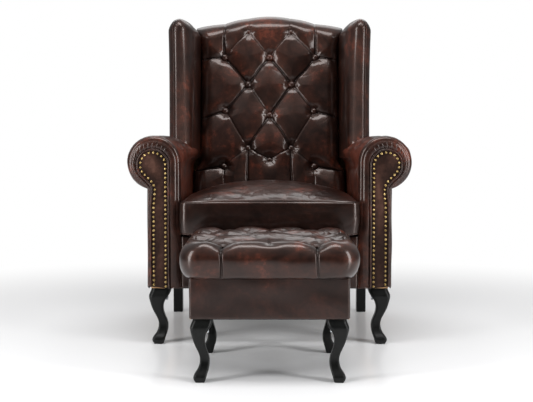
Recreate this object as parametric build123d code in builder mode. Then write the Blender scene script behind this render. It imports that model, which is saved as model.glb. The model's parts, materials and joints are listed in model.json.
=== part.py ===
from build123d import *
import math
import os

os.makedirs("parts", exist_ok=True)

# A wing chair in button-tufted leather with its matching footstool.
# Millimetres. X runs to the right seen from the front, Y to the back, Z up.
# The origin is on the floor, in the middle of the ground that both pieces cover.

# Covers and clearances that every piece shares
leather = 2
fit_gap = 0.3
overrun = 6

# Chair, overall
base_height = 169
base_half_width = 360.5
inner_half_width = 262
arm_top_height = 620
outside_back_depth = 640
bend_height = 480
rake = 10.5
crest_height = 1043
crest_corner_height = 1003
stool_reach = 525

rake_slope = math.tan(math.radians(rake))
rake_cos = math.cos(math.radians(rake))
rake_sin = math.sin(math.radians(rake))
rear_reach = outside_back_depth + (crest_height - bend_height) * rake_slope
front_y = (stool_reach - rear_reach) / 2

# The layers of the back, from the tufted face to the outside cover
pad_depth = 78
webbing_thickness = 1.8
post_depth = 34
webbing_face = pad_depth + fit_gap
post_face = webbing_face + webbing_thickness
post_rear = post_face + post_depth
outside_face = post_rear + fit_gap
back_depth = outside_face + leather
pad_front_y = front_y + outside_back_depth - back_depth / rake_cos


def back_y(depth, height):
    """Y of the surface that lies depth behind the tufted face, at a height."""
    rise = max(height - bend_height, 0)
    return pad_front_y + depth / rake_cos + rise * rake_slope


def pad_face_y(height):
    """Y of the tufted face at a height, which slopes all the way down."""
    return pad_front_y + (height - bend_height) * rake_slope


def up(height):
    """How far up the slope of the back a height lies."""
    return (height - bend_height) / rake_cos


def raked(depth):
    """The sloping plane depth behind the tufted face, with its Y up the slope."""
    return Plane(
        origin=(0, back_y(depth, bend_height), bend_height),
        x_dir=(1, 0, 0),
        z_dir=(0, -rake_cos, rake_sin),
    )


def upright(y):
    """The upright plane across the chair at y, facing forward."""
    return Plane(origin=(0, y, 0), x_dir=(1, 0, 0), z_dir=(0, -1, 0))


def level(height, y=0):
    """The level plane at a height, centred on y."""
    return Plane(origin=(0, y, height))


def save_pair(piece, name):
    """Write the right-hand piece and its mirror image for the left."""
    piece.part.label = f"{name}_right"
    export_step(piece.part, f"parts/{name}_right.step")
    with BuildPart() as other:
        mirror(piece.part, about=Plane.YZ)
    other.part.label = f"{name}_left"
    export_step(other.part, f"parts/{name}_left.step")


# Seat rails and posts
seat_rail_height = 130
front_rail_depth = 28
back_rail_depth = 30
post_width = 34
arm_post_depth = 25
facing_depth = 6
facing_inner_x = 298
facing_outer_x = 351
side_rail_outer_x = base_half_width - leather - fit_gap
side_rail_width = 32
side_rail_inner_x = side_rail_outer_x - side_rail_width
post_outer_x = side_rail_inner_x
post_inner_x = post_outer_x - post_width
rail_top = base_height + seat_rail_height
frame_front_y = front_y + facing_depth + leather + fit_gap
arm_post_rear_y = frame_front_y + arm_post_depth
front_rail_rear_y = frame_front_y + front_rail_depth
post_front_y = back_y(post_face, base_height)
post_rear_y = back_y(post_rear, base_height)

# Facing panels of the arms: a round head on a neck that widens to the foot
head_radius = 46
head_x = facing_inner_x + head_radius
head_drop = 86
head_height = arm_top_height - head_drop
head_turn = 52
neck_x = 347
neck_drop = 72
neck_height = head_height - neck_drop
waist_drop = 62
waist_height = neck_height - waist_drop


def facing_outline(inset=0):
    """The front of an arm's facing panel, drawn in by inset."""
    radius = head_radius - inset
    inner_x = facing_inner_x + inset
    outer_x = facing_outer_x - inset
    turn = math.radians(head_turn)
    cheek = (head_x + radius * math.cos(turn), head_height - radius * math.sin(turn))
    with BuildSketch(upright(front_y)) as outline:
        with BuildLine():
            Line((inner_x, base_height + inset), (inner_x, head_height))
            CenterArc((head_x, head_height), radius, 180, -90)
            CenterArc((head_x, head_height), radius, 90, -90)
            CenterArc((head_x, head_height), radius, 0, -head_turn)
            Spline(
                cheek,
                (neck_x - inset, neck_height),
                (outer_x, waist_height),
                tangents=[(-math.sin(turn), -math.cos(turn)), (0, -1)],
            )
            Line((outer_x, waist_height), (outer_x, base_height + inset))
            Line((outer_x, base_height + inset), (inner_x, base_height + inset))
        make_face()
    return outline.sketch


# Hanger bolts that hold the legs, and the holes that they pass through
bolt_radius = 4
bolt_clearance = 0.2
bolt_in_leg = 40
bolt_in_frame = 55
front_bolt_inset = 50
rear_bolt_x = (post_inner_x + post_outer_x) / 2 + bolt_radius
rear_leg_width = 32
rear_leg_inset = 3
rear_leg_x = side_rail_inner_x - rear_leg_inset
rear_leg_y = (post_front_y + post_rear_y) / 2


def bolt_hole(x, y, z, depth, downward=False):
    """A clearance hole for a leg bolt, up or down from a level face at z."""
    side = 1 if downward else -1
    with BuildPart(Plane(origin=(x, y, z), z_dir=(0, 0, side))) as hole:
        Cylinder(
            bolt_radius + bolt_clearance,
            depth + overrun,
            align=(Align.CENTER, Align.CENTER, Align.MAX),
        )
    moved = hole.part.moved(Location((0, 0, side * overrun)))
    return moved


# Front seat rail, butted between the arm posts
with BuildPart() as front_seat_rail:
    with BuildSketch(level(base_height, frame_front_y)):
        Rectangle(2 * facing_inner_x, front_rail_depth, align=(Align.CENTER, Align.MIN))
    extrude(amount=seat_rail_height)
front_seat_rail.part.label = "front_seat_rail"
export_step(front_seat_rail.part, "parts/front_seat_rail.step")

# Back seat rail, between the back posts
with BuildPart() as back_seat_rail:
    with BuildSketch(level(base_height, post_rear_y)):
        Rectangle(2 * post_inner_x, back_rail_depth, align=(Align.CENTER, Align.MAX))
    extrude(amount=seat_rail_height)
back_seat_rail.part.label = "back_seat_rail"
export_step(back_seat_rail.part, "parts/back_seat_rail.step")

# Side rails, from the arm post back along the outside of the back post
with BuildPart() as side_rail:
    with BuildSketch(Plane.YZ.offset(side_rail_inner_x)):
        with BuildLine():
            Polyline(
                (arm_post_rear_y, base_height),
                (post_rear_y, base_height),
                (post_rear_y, rail_top),
                (arm_post_rear_y, rail_top),
                close=True,
            )
        make_face()
    extrude(amount=side_rail_width)
save_pair(side_rail, "side_rail")

# Back posts: upright to the seat, then raked to the crest
post_top_height = 968
with BuildPart() as back_post:
    with BuildSketch(Plane.YZ.offset(post_inner_x)):
        with BuildLine():
            Polyline(
                (back_y(post_face, base_height), base_height),
                (back_y(post_face, bend_height), bend_height),
                (back_y(post_face, post_top_height), post_top_height),
                (back_y(post_rear, post_top_height), post_top_height),
                (back_y(post_rear, bend_height), bend_height),
                (back_y(post_rear, base_height), base_height),
                close=True,
            )
        make_face()
    extrude(amount=post_width)
    add(
        bolt_hole(rear_bolt_x, rear_leg_y, base_height, bolt_in_frame),
        mode=Mode.SUBTRACT,
    )
save_pair(back_post, "back_post")

# Crest rail: an arched board between the posts
crest_cover = 20
crest_rail_height = 60
crest_rail_top = crest_height - crest_cover
crest_rail_end_drop = 34
crest_rail_corner = crest_corner_height - crest_rail_end_drop
with BuildPart() as crest_rail:
    with BuildSketch(raked(post_face)):
        with BuildLine():
            top = ThreePointArc(
                (-post_inner_x, up(crest_rail_corner)),
                (0, up(crest_rail_top)),
                (post_inner_x, up(crest_rail_corner)),
            )
            low = up(crest_rail_corner - crest_rail_height)
            Polyline(top @ 1, (post_inner_x, low), (-post_inner_x, low), top @ 0)
        make_face()
    extrude(amount=-post_depth)
crest_rail.part.label = "crest_rail"
export_step(crest_rail.part, "parts/crest_rail.step")

# Lower back rail, where the webbing and the pad end
lower_rail_height = 60
lower_rail_gap = 44
lower_rail_bottom = rail_top + lower_rail_gap
with BuildPart() as back_lower_rail:
    with BuildSketch(level(lower_rail_bottom, post_front_y)):
        Rectangle(2 * post_inner_x, post_depth, align=(Align.CENTER, Align.MIN))
    extrude(amount=lower_rail_height)
back_lower_rail.part.label = "back_lower_rail"
export_step(back_lower_rail.part, "parts/back_lower_rail.step")

# Arm posts behind the facings
with BuildPart() as arm_post:
    extrude(facing_outline(), amount=-(frame_front_y - front_y + arm_post_depth))
    with BuildSketch(upright(frame_front_y)):
        Rectangle(
            2 * base_half_width, 2 * arm_top_height, align=(Align.MIN, Align.CENTER)
        )
    extrude(amount=frame_front_y - front_y + overrun, mode=Mode.SUBTRACT)
save_pair(arm_post, "arm_post")

# Arm rails, from the arm post to the back post
arm_rail_width = 40
arm_rail_height = 28
arm_rail_inner_x = 284
arm_rail_drop = 115
arm_rail_bottom = arm_top_height - arm_rail_drop
arm_rail_rear_y = back_y(post_face, arm_rail_bottom)
with BuildPart() as arm_rail:
    with BuildSketch(upright(arm_post_rear_y)):
        with Locations((arm_rail_inner_x, arm_rail_bottom)):
            Rectangle(arm_rail_width, arm_rail_height, align=(Align.MIN, Align.MIN))
    extrude(amount=-(arm_rail_rear_y - arm_post_rear_y))
save_pair(arm_rail, "arm_rail")

# Arm: the roll shrinks towards the back
arm_front_roll_radius = 79
arm_rear_roll_radius = 51
arm_rear_top_height = arm_top_height - arm_front_roll_radius + arm_rear_roll_radius
arm_taper_start_length = 290
arm_taper_end_length = 590
arm_taper_start_y = front_y + arm_taper_start_length
arm_taper_end_y = front_y + arm_taper_end_length
arm_edge_radius = 13

# Wing: where its front edge, its outside and its inside run, from the arm up
wing_low_height = arm_top_height - arm_front_roll_radius
wing_arm_drop = 20
wing_arm_height = arm_top_height - wing_arm_drop
wing_top_height = 1004
wing_arm_setback = 268
wing_top_setback = 385
wing_arm_front_y = front_y + wing_arm_setback
wing_top_front_y = front_y + wing_top_setback
wing_arm_outer_x = 321
wing_top_outer_x = 335
wing_roll_radius = 33
pad_half_width = 240
wing_inner_x = pad_half_width + fit_gap
wing_outer_rear_x = post_outer_x + fit_gap + leather
wing_rise_shares = (0, 0.2, 0.42, 0.66, 0.86, 0.95)
wing_lean_shares = (0, 0.26, 0.5, 0.72, 0.9, 0.97)
wing_cap_drop_shares = (0.24, 0)
wing_cap_draw_shares = (0.15, 0.5)


def wing_section(height, front, outer_x, draw, inset):
    """One level slice of a wing: a round front edge that tapers to the post."""
    radius = wing_roll_radius - inset - draw
    centre = (outer_x - wing_roll_radius, front + wing_roll_radius)
    inner_x = wing_inner_x + inset
    outer_rear_x = wing_outer_rear_x - inset - draw / 2
    rear = back_y(post_rear, height) + overrun
    post_front = back_y(post_face, height) - fit_gap
    joint = back_y(0, height) + pad_depth / 4
    with BuildSketch(level(height)) as section:
        with BuildLine():
            first = CenterArc(centre, radius, 180, 90)
            second = CenterArc(centre, radius, 270, 90)
            Polyline(
                second @ 1,
                (outer_rear_x, post_front),
                (outer_rear_x, rear),
                (inner_x, rear),
                (inner_x, joint),
                first @ 0,
            )
        make_face()
    return section.sketch


def wing_form(inset):
    """The whole wing, drawn in by inset and open at the foot and the rear."""
    sections = [
        wing_section(
            wing_low_height - inset, wing_arm_front_y, wing_arm_outer_x, 0, inset
        )
    ]
    rise = wing_top_height - wing_arm_height
    lean = wing_top_front_y - wing_arm_front_y
    flare = wing_top_outer_x - wing_arm_outer_x
    for rise_share, lean_share in zip(wing_rise_shares, wing_lean_shares):
        sections.append(
            wing_section(
                wing_arm_height + rise * rise_share,
                wing_arm_front_y + lean * lean_share,
                wing_arm_outer_x + flare * rise_share,
                0,
                inset,
            )
        )
    for drop_share, draw_share in zip(wing_cap_drop_shares, wing_cap_draw_shares):
        sections.append(
            wing_section(
                wing_top_height - wing_roll_radius * drop_share - inset,
                wing_top_front_y,
                wing_top_outer_x,
                wing_roll_radius * draw_share,
                inset,
            )
        )
    with BuildPart() as form:
        loft(sections=sections, ruled=True)
    return form.part


def arm_section(y, radius, top_height, inset):
    """The arm cut across: flat inside, roll, and flat outside to the base."""
    centre = (inner_half_width + radius, top_height - radius)
    roll = radius - inset
    side_x = base_half_width - inset
    turn = math.degrees(math.acos((side_x - centre[0]) / roll))
    bottom = base_height - inset
    with BuildSketch(upright(y)) as section:
        with BuildLine():
            inner = CenterArc(centre, roll, 180, -90)
            CenterArc(centre, roll, 90, -90)
            under = CenterArc(centre, roll, 0, -turn)
            Polyline(
                under @ 1, (side_x, bottom), (inner_half_width + inset, bottom), inner @ 0
            )
        make_face()
    return section.sketch


def arm_form(inset):
    """The whole arm, drawn in by inset and open at the foot and the rear."""
    start_y = front_y + facing_depth + inset
    front = arm_section(start_y, arm_front_roll_radius, arm_top_height, inset)
    middle = arm_section(arm_taper_start_y, arm_front_roll_radius, arm_top_height, inset)
    narrow = arm_section(arm_taper_end_y, arm_rear_roll_radius, arm_rear_top_height, inset)
    with BuildPart() as form:
        extrude(front, amount=-(arm_taper_start_y - start_y))
        rim = form.faces().sort_by(Axis.Y)[0].edges().filter_by(GeomType.CIRCLE)
        fillet(rim, radius=arm_edge_radius - inset)
        loft(sections=[middle, narrow], ruled=True)
        extrude(narrow, amount=-(rear_reach + front_y - arm_taper_end_y))
    return form.part


def behind(depth):
    """Everything behind a surface of the back, to cut pieces off along it."""
    far = front_y + 2 * rear_reach
    high = 2 * crest_height
    with BuildPart() as block:
        with BuildSketch(Plane.YZ):
            with BuildLine():
                Polyline(
                    (back_y(depth, 0), 0),
                    (back_y(depth, bend_height), bend_height),
                    (back_y(depth, high), high),
                    (far, high),
                    (far, 0),
                    close=True,
                )
            make_face()
        extrude(amount=2 * base_half_width, both=True)
    return block.part


# Wing frames: boards that stand on the arm rails in front of the posts
wing_board_thickness = 18
wing_board_inset = 26
wing_board_top = wing_top_height - wing_board_inset
wing_board_low = arm_rail_bottom + arm_rail_height
with BuildPart() as wing_frame:
    with BuildSketch(Plane.YZ.offset(post_inner_x)):
        with BuildLine():
            Polyline(
                (wing_arm_front_y + wing_board_inset, wing_board_low),
                (wing_top_front_y + wing_board_inset, wing_board_top),
                (back_y(post_face, wing_board_top), wing_board_top),
                (back_y(post_face, wing_board_low), wing_board_low),
                close=True,
            )
        make_face()
    extrude(amount=wing_board_thickness)
save_pair(wing_frame, "wing_frame")

# Wing padding, between the board and the cover
rear_of_pad = behind(pad_depth)
rear_of_frame = behind(post_rear)
arm_with_clearance = arm_form(-fit_gap)
with BuildPart() as wing_padding:
    add(wing_form(leather + fit_gap))
    add(arm_with_clearance, mode=Mode.SUBTRACT)
    add(rear_of_pad, mode=Mode.SUBTRACT)
    add(wing_frame.part, mode=Mode.SUBTRACT)
    with BuildSketch(level(0)):
        Rectangle(3 * base_half_width, 3 * rear_reach)
    extrude(amount=wing_low_height, mode=Mode.SUBTRACT)
save_pair(wing_padding, "wing_padding")

# Wing cover: the hide round the padding and the post
with BuildPart() as wing_cover:
    add(wing_form(0))
    add(wing_form(leather), mode=Mode.SUBTRACT)
    add(arm_with_clearance, mode=Mode.SUBTRACT)
    add(rear_of_frame, mode=Mode.SUBTRACT)
    with BuildSketch(raked(pad_depth)):
        with Locations((pad_half_width, 0)):
            Rectangle(
                inner_half_width - pad_half_width,
                up(crest_corner_height - crest_cover / 2),
                align=(Align.MIN, Align.MIN),
            )
    extrude(amount=-back_depth, mode=Mode.SUBTRACT)
save_pair(wing_cover, "wing_cover")

# Arm padding: felt round the roll and down the inside
arm_pad_thickness = 22
arm_hollow_drop = 27
arm_hollow_top = arm_rail_bottom - arm_hollow_drop
with BuildPart() as arm_padding:
    add(arm_form(leather + fit_gap))
    with BuildSketch(upright(arm_post_rear_y)):
        with Locations((inner_half_width + arm_pad_thickness, 0)):
            Rectangle(base_half_width, arm_hollow_top, align=(Align.MIN, Align.MIN))
    extrude(amount=-rear_reach, mode=Mode.SUBTRACT)
    with BuildSketch(level(0)):
        Rectangle(3 * base_half_width, 3 * rear_reach)
    extrude(amount=rail_top + fit_gap, mode=Mode.SUBTRACT)
    add(rear_of_pad, mode=Mode.SUBTRACT)
    add([arm_post.part, arm_rail.part, wing_frame.part], mode=Mode.SUBTRACT)
save_pair(arm_padding, "arm_padding")

# Arm cover and outside arm: one shell, parted where the hide is tacked under the roll
outside_arm_drop = 156
outside_arm_top = arm_top_height - outside_arm_drop
with BuildPart() as arm_shell:
    add(arm_form(0))
    add(arm_form(leather), mode=Mode.SUBTRACT)
    with BuildSketch(level(0, frame_front_y)):
        Rectangle(
            2 * (side_rail_inner_x + fit_gap),
            rear_reach,
            align=(Align.CENTER, Align.MIN),
        )
    extrude(amount=rail_top + fit_gap, mode=Mode.SUBTRACT)
    with BuildSketch(level(0, back_y(pad_depth, 0))):
        Rectangle(2 * post_inner_x, rear_reach, align=(Align.CENTER, Align.MIN))
    extrude(amount=arm_top_height, mode=Mode.SUBTRACT)
    add(rear_of_frame, mode=Mode.SUBTRACT)

with BuildPart() as outside_zone:
    with BuildSketch(level(0, frame_front_y)):
        with Locations((side_rail_outer_x, 0)):
            Rectangle(base_half_width, rear_reach, align=(Align.MIN, Align.MIN))
    extrude(amount=outside_arm_top)

with BuildPart() as outside_arm:
    add(arm_shell.part)
    add(outside_zone.part, mode=Mode.INTERSECT)
save_pair(outside_arm, "outside_arm")

with BuildPart() as arm_cover:
    add(arm_shell.part)
    add(outside_zone.part, mode=Mode.SUBTRACT)
    add([wing_frame.part, back_post.part], mode=Mode.SUBTRACT)
save_pair(arm_cover, "arm_cover")

# Facing panels and the dome nails round them
nail_radius = 4.6
nail_rise = 2.8
nail_shank_radius = 1
nail_shank_length = 5
nail_pitch = 13.4
nail_inset = 9
nail_round = 2.5
nail_line = facing_outline(nail_inset).face().outer_wire()
nail_edges = nail_line.edges().sort_by(Axis.Z)[1:]
nail_path = Wire(nail_edges)
nail_count = int(nail_path.length / nail_pitch)
nail_places = [nail_path @ (step / nail_count) for step in range(nail_count + 1)]

with BuildPart() as nail:
    with BuildSketch(Plane.XY):
        Circle(nail_radius)
    extrude(amount=nail_rise)
    fillet(nail.edges().sort_by(Axis.Z)[-1], radius=nail_round)
    with BuildSketch(Plane.XY):
        Circle(nail_shank_radius)
    extrude(amount=-nail_shank_length)

with BuildPart() as right_facing_nails:
    for place in nail_places:
        seat = Plane(origin=(place.X, front_y, place.Z), z_dir=(0, -1, 0))
        add(nail.part.moved(seat.location))

with BuildPart() as facing_nails:
    add(right_facing_nails.part)
    mirror(right_facing_nails.part, about=Plane.YZ)
facing_nails.part.label = "facing_nails"
export_step(facing_nails.part, "parts/facing_nails.step")

with BuildPart() as facing:
    extrude(facing_outline(), amount=-facing_depth)
    with BuildSketch(upright(front_y)):
        with Locations([(place.X, place.Z) for place in nail_places]):
            Circle(nail_shank_radius + fit_gap / 2)
    extrude(amount=-nail_shank_length - fit_gap, mode=Mode.SUBTRACT)
save_pair(facing, "facing")

# Front border: the hide-covered apron below the cushion
cushion_bottom = 326
border_clearance = 3
with BuildPart() as front_border:
    with BuildSketch(level(base_height, front_y + facing_depth)):
        Rectangle(
            2 * (inner_half_width - fit_gap),
            leather,
            align=(Align.CENTER, Align.MIN),
        )
    extrude(amount=cushion_bottom - border_clearance - base_height)
front_border.part.label = "front_border"
export_step(front_border.part, "parts/front_border.step")

# Corner blocks and the legs' bolts
corner_block_size = 66
corner_block_height = 90


def corner_block(x, y, reach):
    """A three-sided block in a corner of the seat frame, running in by its size."""
    with BuildSketch(level(base_height)) as triangle:
        with BuildLine():
            Polyline(
                (x, y),
                (x - corner_block_size, y),
                (x, y + reach * corner_block_size),
                close=True,
            )
        make_face()
    return triangle.sketch


front_bolt_x = side_rail_outer_x - front_bolt_inset
front_bolt_y = front_y + front_bolt_inset
with BuildPart() as right_corner_blocks:
    extrude(
        corner_block(side_rail_inner_x, front_rail_rear_y, 1),
        amount=corner_block_height,
    )
    extrude(
        corner_block(side_rail_inner_x, post_front_y, -1),
        amount=corner_block_height,
    )
    add(
        bolt_hole(front_bolt_x, front_bolt_y, base_height, corner_block_height + overrun),
        mode=Mode.SUBTRACT,
    )

with BuildPart() as corner_blocks:
    add(right_corner_blocks.part)
    mirror(right_corner_blocks.part, about=Plane.YZ)
corner_blocks.part.label = "corner_blocks"
export_step(corner_blocks.part, "parts/corner_blocks.step")

with BuildPart() as leg_bolts:
    for x, y in ((front_bolt_x, front_bolt_y), (rear_bolt_x, rear_leg_y)):
        for side in (1, -1):
            with Locations((side * x, y, base_height - bolt_in_leg)):
                Cylinder(
                    bolt_radius,
                    bolt_in_leg + bolt_in_frame,
                    align=(Align.CENTER, Align.CENTER, Align.MIN),
                )
leg_bolts.part.label = "leg_bolts"
export_step(leg_bolts.part, "parts/leg_bolts.step")

# Cabriole legs: slices from the foot up, each a share of the leg's height and of
# its width at the top, measured inwards from the leg's outer corner
leg_width = 67
leg_height_shares = (0, 0.035, 0.085, 0.172, 0.278, 0.366, 0.48, 0.623, 0.717, 0.8, 0.88, 1)
leg_near_shares = (0.2, 0.15, 0.12, 0.25, 0.37, 0.385, 0.3, 0.14, 0.065, 0.01, 0, 0.1)
leg_far_shares = (0.59, 0.64, 0.675, 0.75, 0.8, 0.79, 0.7, 0.615, 0.635, 0.735, 0.88, 1)
leg_corner_share = 0.2


def cabriole(corner_x, corner_y, width, height, x_way, y_way):
    """A cabriole leg whose outer corner is given and which runs in both ways."""
    slices = []
    for rise, near, far in zip(leg_height_shares, leg_near_shares, leg_far_shares):
        middle = width * (near + far) / 2
        span = width * (far - near)
        place = Plane(
            origin=(corner_x + x_way * middle, corner_y + y_way * middle, height * rise)
        )
        with BuildSketch(place) as cut:
            RectangleRounded(span, span, span * leg_corner_share)
        slices.append(cut.sketch)
    with BuildPart() as leg:
        loft(sections=slices)
    return leg.part


leg_front_setback = 5
with BuildPart() as front_leg:
    add(
        cabriole(
            side_rail_outer_x, front_y + leg_front_setback, leg_width, base_height, -1, 1
        )
    )
    add(
        bolt_hole(front_bolt_x, front_bolt_y, base_height, bolt_in_leg + fit_gap, True),
        mode=Mode.SUBTRACT,
    )
save_pair(front_leg, "front_leg")

# Rear legs: square posts with softened feet
rear_leg_foot_radius = 3
with BuildPart() as rear_leg:
    with BuildSketch(level(0, rear_leg_y)):
        with Locations((rear_leg_x, 0)):
            Rectangle(rear_leg_width, rear_leg_width)
    extrude(amount=base_height)
    fillet(rear_leg.faces().sort_by(Axis.Z)[0].edges(), radius=rear_leg_foot_radius)
    add(
        bolt_hole(rear_bolt_x, rear_leg_y, base_height, bolt_in_leg + fit_gap, True),
        mode=Mode.SUBTRACT,
    )
save_pair(rear_leg, "rear_leg")

# Dust cover: black cloth under the seat frame, cut out round the legs
dust_thickness = 1
with BuildPart() as dust_cover:
    with BuildSketch(level(base_height)):
        with BuildLine():
            Polyline(
                (-post_inner_x, post_rear_y),
                (-post_inner_x, frame_front_y),
                (post_inner_x, frame_front_y),
                (post_inner_x, post_rear_y),
                close=True,
            )
        make_face()
        with Locations(
            (side_rail_outer_x, front_y), (-side_rail_outer_x, front_y)
        ):
            cut_size = 2 * (leg_width + leg_front_setback + fit_gap)
            Rectangle(cut_size, cut_size, mode=Mode.SUBTRACT)
    extrude(amount=-dust_thickness)
dust_cover.part.label = "dust_cover"
export_step(dust_cover.part, "parts/dust_cover.step")

# Seat springs: zigzag wires from rail to rail, held in clips
spring_wire_radius = 1.9
spring_count = 5
spring_spacing = 96
spring_half_width = 30
spring_bends = 14
spring_bend_share = 0.45
spring_level = rail_top + spring_wire_radius + fit_gap
spring_front_y = frame_front_y + front_rail_depth / 2
spring_rear_y = post_rear_y - back_rail_depth / 2
spring_step = (spring_rear_y - spring_front_y) / spring_bends
spring_bend_radius = spring_step * spring_bend_share
with BuildPart() as seat_springs:
    for place in range(spring_count):
        middle = (place - (spring_count - 1) / 2) * spring_spacing
        corners = []
        for bend in range(spring_bends + 1):
            side = 1 if bend % 2 == 0 else -1
            bend_y = spring_front_y + bend * spring_step
            corners.append((middle - side * spring_half_width, bend_y, spring_level))
            corners.append((middle + side * spring_half_width, bend_y, spring_level))
        with BuildLine() as zigzag:
            FilletPolyline(*corners, radius=spring_bend_radius)
        with BuildSketch(Plane(origin=corners[0], z_dir=(1, 0, 0))):
            Circle(spring_wire_radius)
        sweep(path=zigzag.line)
seat_springs.part.label = "seat_springs"
export_step(seat_springs.part, "parts/seat_springs.step")

# Spring clips: small steel channels over the wire ends, on the rails
clip_length = 18
clip_wall = 1.2
clip_depth = 9
clip_inner = spring_wire_radius + fit_gap
with BuildPart() as spring_clips:
    for place in range(spring_count):
        middle = (place - (spring_count - 1) / 2) * spring_spacing
        for clip_y in (spring_front_y, spring_rear_y):
            with BuildSketch(Plane.YZ.offset(middle - clip_length / 2)):
                with Locations((clip_y, rail_top)):
                    Rectangle(
                        clip_depth,
                        2 * clip_inner + clip_wall,
                        align=(Align.CENTER, Align.MIN),
                    )
                    Rectangle(
                        2 * clip_inner,
                        2 * clip_inner,
                        align=(Align.CENTER, Align.MIN),
                        mode=Mode.SUBTRACT,
                    )
            extrude(amount=clip_length)
spring_clips.part.label = "spring_clips"
export_step(spring_clips.part, "parts/spring_clips.step")

# Seat deck: the padded platform on the springs, under the loose cushion
deck_bottom = rail_top + 2 * clip_inner + clip_wall + fit_gap
deck_top = cushion_bottom - fit_gap
with BuildPart() as seat_deck:
    with BuildSketch(level(deck_bottom)):
        with BuildLine():
            Polyline(
                (-inner_half_width + fit_gap, front_y + facing_depth + leather + fit_gap),
                (inner_half_width - fit_gap, front_y + facing_depth + leather + fit_gap),
                (inner_half_width - fit_gap, pad_face_y(deck_bottom) - fit_gap),
                (-inner_half_width + fit_gap, pad_face_y(deck_bottom) - fit_gap),
                close=True,
            )
        make_face()
    extrude(amount=deck_top - deck_bottom)
seat_deck.part.label = "seat_deck"
export_step(seat_deck.part, "parts/seat_deck.step")

# Back webbing: straps across the posts behind the pad
webbing_width = 52
webbing_count = 6
webbing_low = 420
webbing_half_length = arm_rail_inner_x - fit_gap
webbing_rise = (crest_rail_corner - crest_rail_height / 2 - webbing_low) / (webbing_count - 1)
with BuildPart() as back_webbing:
    for strap in range(webbing_count):
        strap_height = webbing_low + strap * webbing_rise
        low, high = strap_height - webbing_width / 2, strap_height + webbing_width / 2
        with BuildSketch(Plane.YZ):
            with BuildLine():
                stations = sorted({low, high, min(max(bend_height, low), high)})
                Polyline(
                    *[(back_y(webbing_face, station), station) for station in stations],
                    *[(back_y(post_face, station), station) for station in reversed(stations)],
                    close=True,
                )
            make_face()
        extrude(amount=webbing_half_length, both=True)
back_webbing.part.label = "back_webbing"
export_step(back_webbing.part, "parts/back_webbing.step")

# Button tufting shared by the back and the stool: channels between the buttons, and
# a funnel at each button
channel_half_width = 30
channel_depth = 17
dimple_radius = 26
dimple_depth = 25
tuft_layer = 36
button_radius = 12.5
button_thickness = 5
button_rim_radius = 3


def channel_cutter(plane, start, end):
    """The wedge of one channel, from start to end on a face."""
    run = Vector(end[0] - start[0], end[1] - start[1], 0)
    from_point = plane.from_local_coords(Vector(start[0], start[1], 0))
    to_point = plane.from_local_coords(Vector(end[0], end[1], 0))
    along = (to_point - from_point).normalized()
    across = along.cross(plane.z_dir)
    spread = channel_half_width * (1 + overrun / channel_depth)
    with BuildPart() as cutter:
        with BuildSketch(Plane(origin=from_point, x_dir=across, z_dir=-along)):
            with BuildLine():
                Polyline((spread, overrun), (0, -channel_depth), (-spread, overrun), close=True)
            make_face()
        extrude(amount=-run.length)
    return cutter.part


def dimple_cutter(plane, place):
    """The funnel that a button pulls into the face, with room for the button."""
    with BuildPart() as cutter:
        with BuildSketch(plane.offset(overrun)):
            with Locations(place):
                Circle(dimple_radius)
        with BuildSketch(plane.offset(-dimple_depth)):
            with Locations(place):
                Circle(button_radius + fit_gap)
        loft()
    return cutter.part


def button_at(plane, place):
    """A covered button whose back sits just above the bottom of its dimple."""
    with BuildPart() as button:
        with BuildSketch(plane.offset(fit_gap - dimple_depth)):
            with Locations(place):
                Circle(button_radius)
        extrude(amount=button_thickness)
        front = button.faces().sort_by(Axis(plane.origin, plane.z_dir))[-1]
        fillet(front.edges(), radius=button_rim_radius)
    return button.part


# Tufting of the back: button rows from the crest down, alternately two and three
back_row_height_shares = (0.944, 0.86, 0.769, 0.68, 0.557, 0.497)
back_row_shares = ((-0.31, 0.31), (-0.66, 0, 0.67), (-0.31, 0.32),
                   (-0.64, 0, 0.64), (-0.31, 0.31), (-0.66, 0, 0.64))
pad_bottom_height = 308
back_buttons_places = [
    [(pad_half_width * share, up(crest_height * height_share)) for share in shares]
    for height_share, shares in zip(back_row_height_shares, back_row_shares)
]


def tuft_lines(rows, longest):
    """The channels between the buttons of neighbouring rows."""
    lines = []
    for upper, lower in zip(rows, rows[1:]):
        for start in upper:
            for end in lower:
                if abs(start[0] - end[0]) < longest:
                    lines.append((start, end))
    return lines


back_lines = tuft_lines(back_buttons_places, pad_half_width / 2)
back_top = up(crest_height)
back_low = up(pad_bottom_height)
for place in back_buttons_places[0]:
    back_lines.append((place, (place[0], back_top)))
for place in (back_buttons_places[1][0], back_buttons_places[1][2]):
    back_lines.append((place, (place[0], back_top)))
    outward = math.copysign(pad_half_width, place[0])
    back_lines.append((place, (outward, place[1])))
for place in (back_buttons_places[3][0], back_buttons_places[3][2]):
    outward = math.copysign(pad_half_width, place[0])
    back_lines.append((place, (outward, place[1])))
for place in back_buttons_places[5]:
    back_lines.append((place, (place[0], back_low)))

pad_edge_draw = 22
pad_edge_depth_shares = (1, 0.45, 0)
pad_edge_draw_shares = (0, 0.27, 1)
pad_wide_half_width = inner_half_width - fit_gap
pad_step_height = wing_low_height - fit_gap


def pad_slice(depth, draw):
    """The back pad's outline at a depth, drawn in: arched top, wider at the seat."""
    side = pad_half_width - draw
    wide = pad_wide_half_width - draw
    low = up(pad_bottom_height + draw)
    step = up(pad_step_height - draw)
    corner = up(crest_corner_height - draw)
    top = up(crest_height - draw)
    with BuildSketch(raked(depth)) as outline:
        with BuildLine():
            arch = ThreePointArc((side, corner), (0, top), (-side, corner))
            Polyline(
                arch @ 1, (-side, step), (-wide, step), (-wide, low),
                (wide, low), (wide, step), (side, step), arch @ 0,
            )
        make_face()
    return outline.sketch


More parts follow.
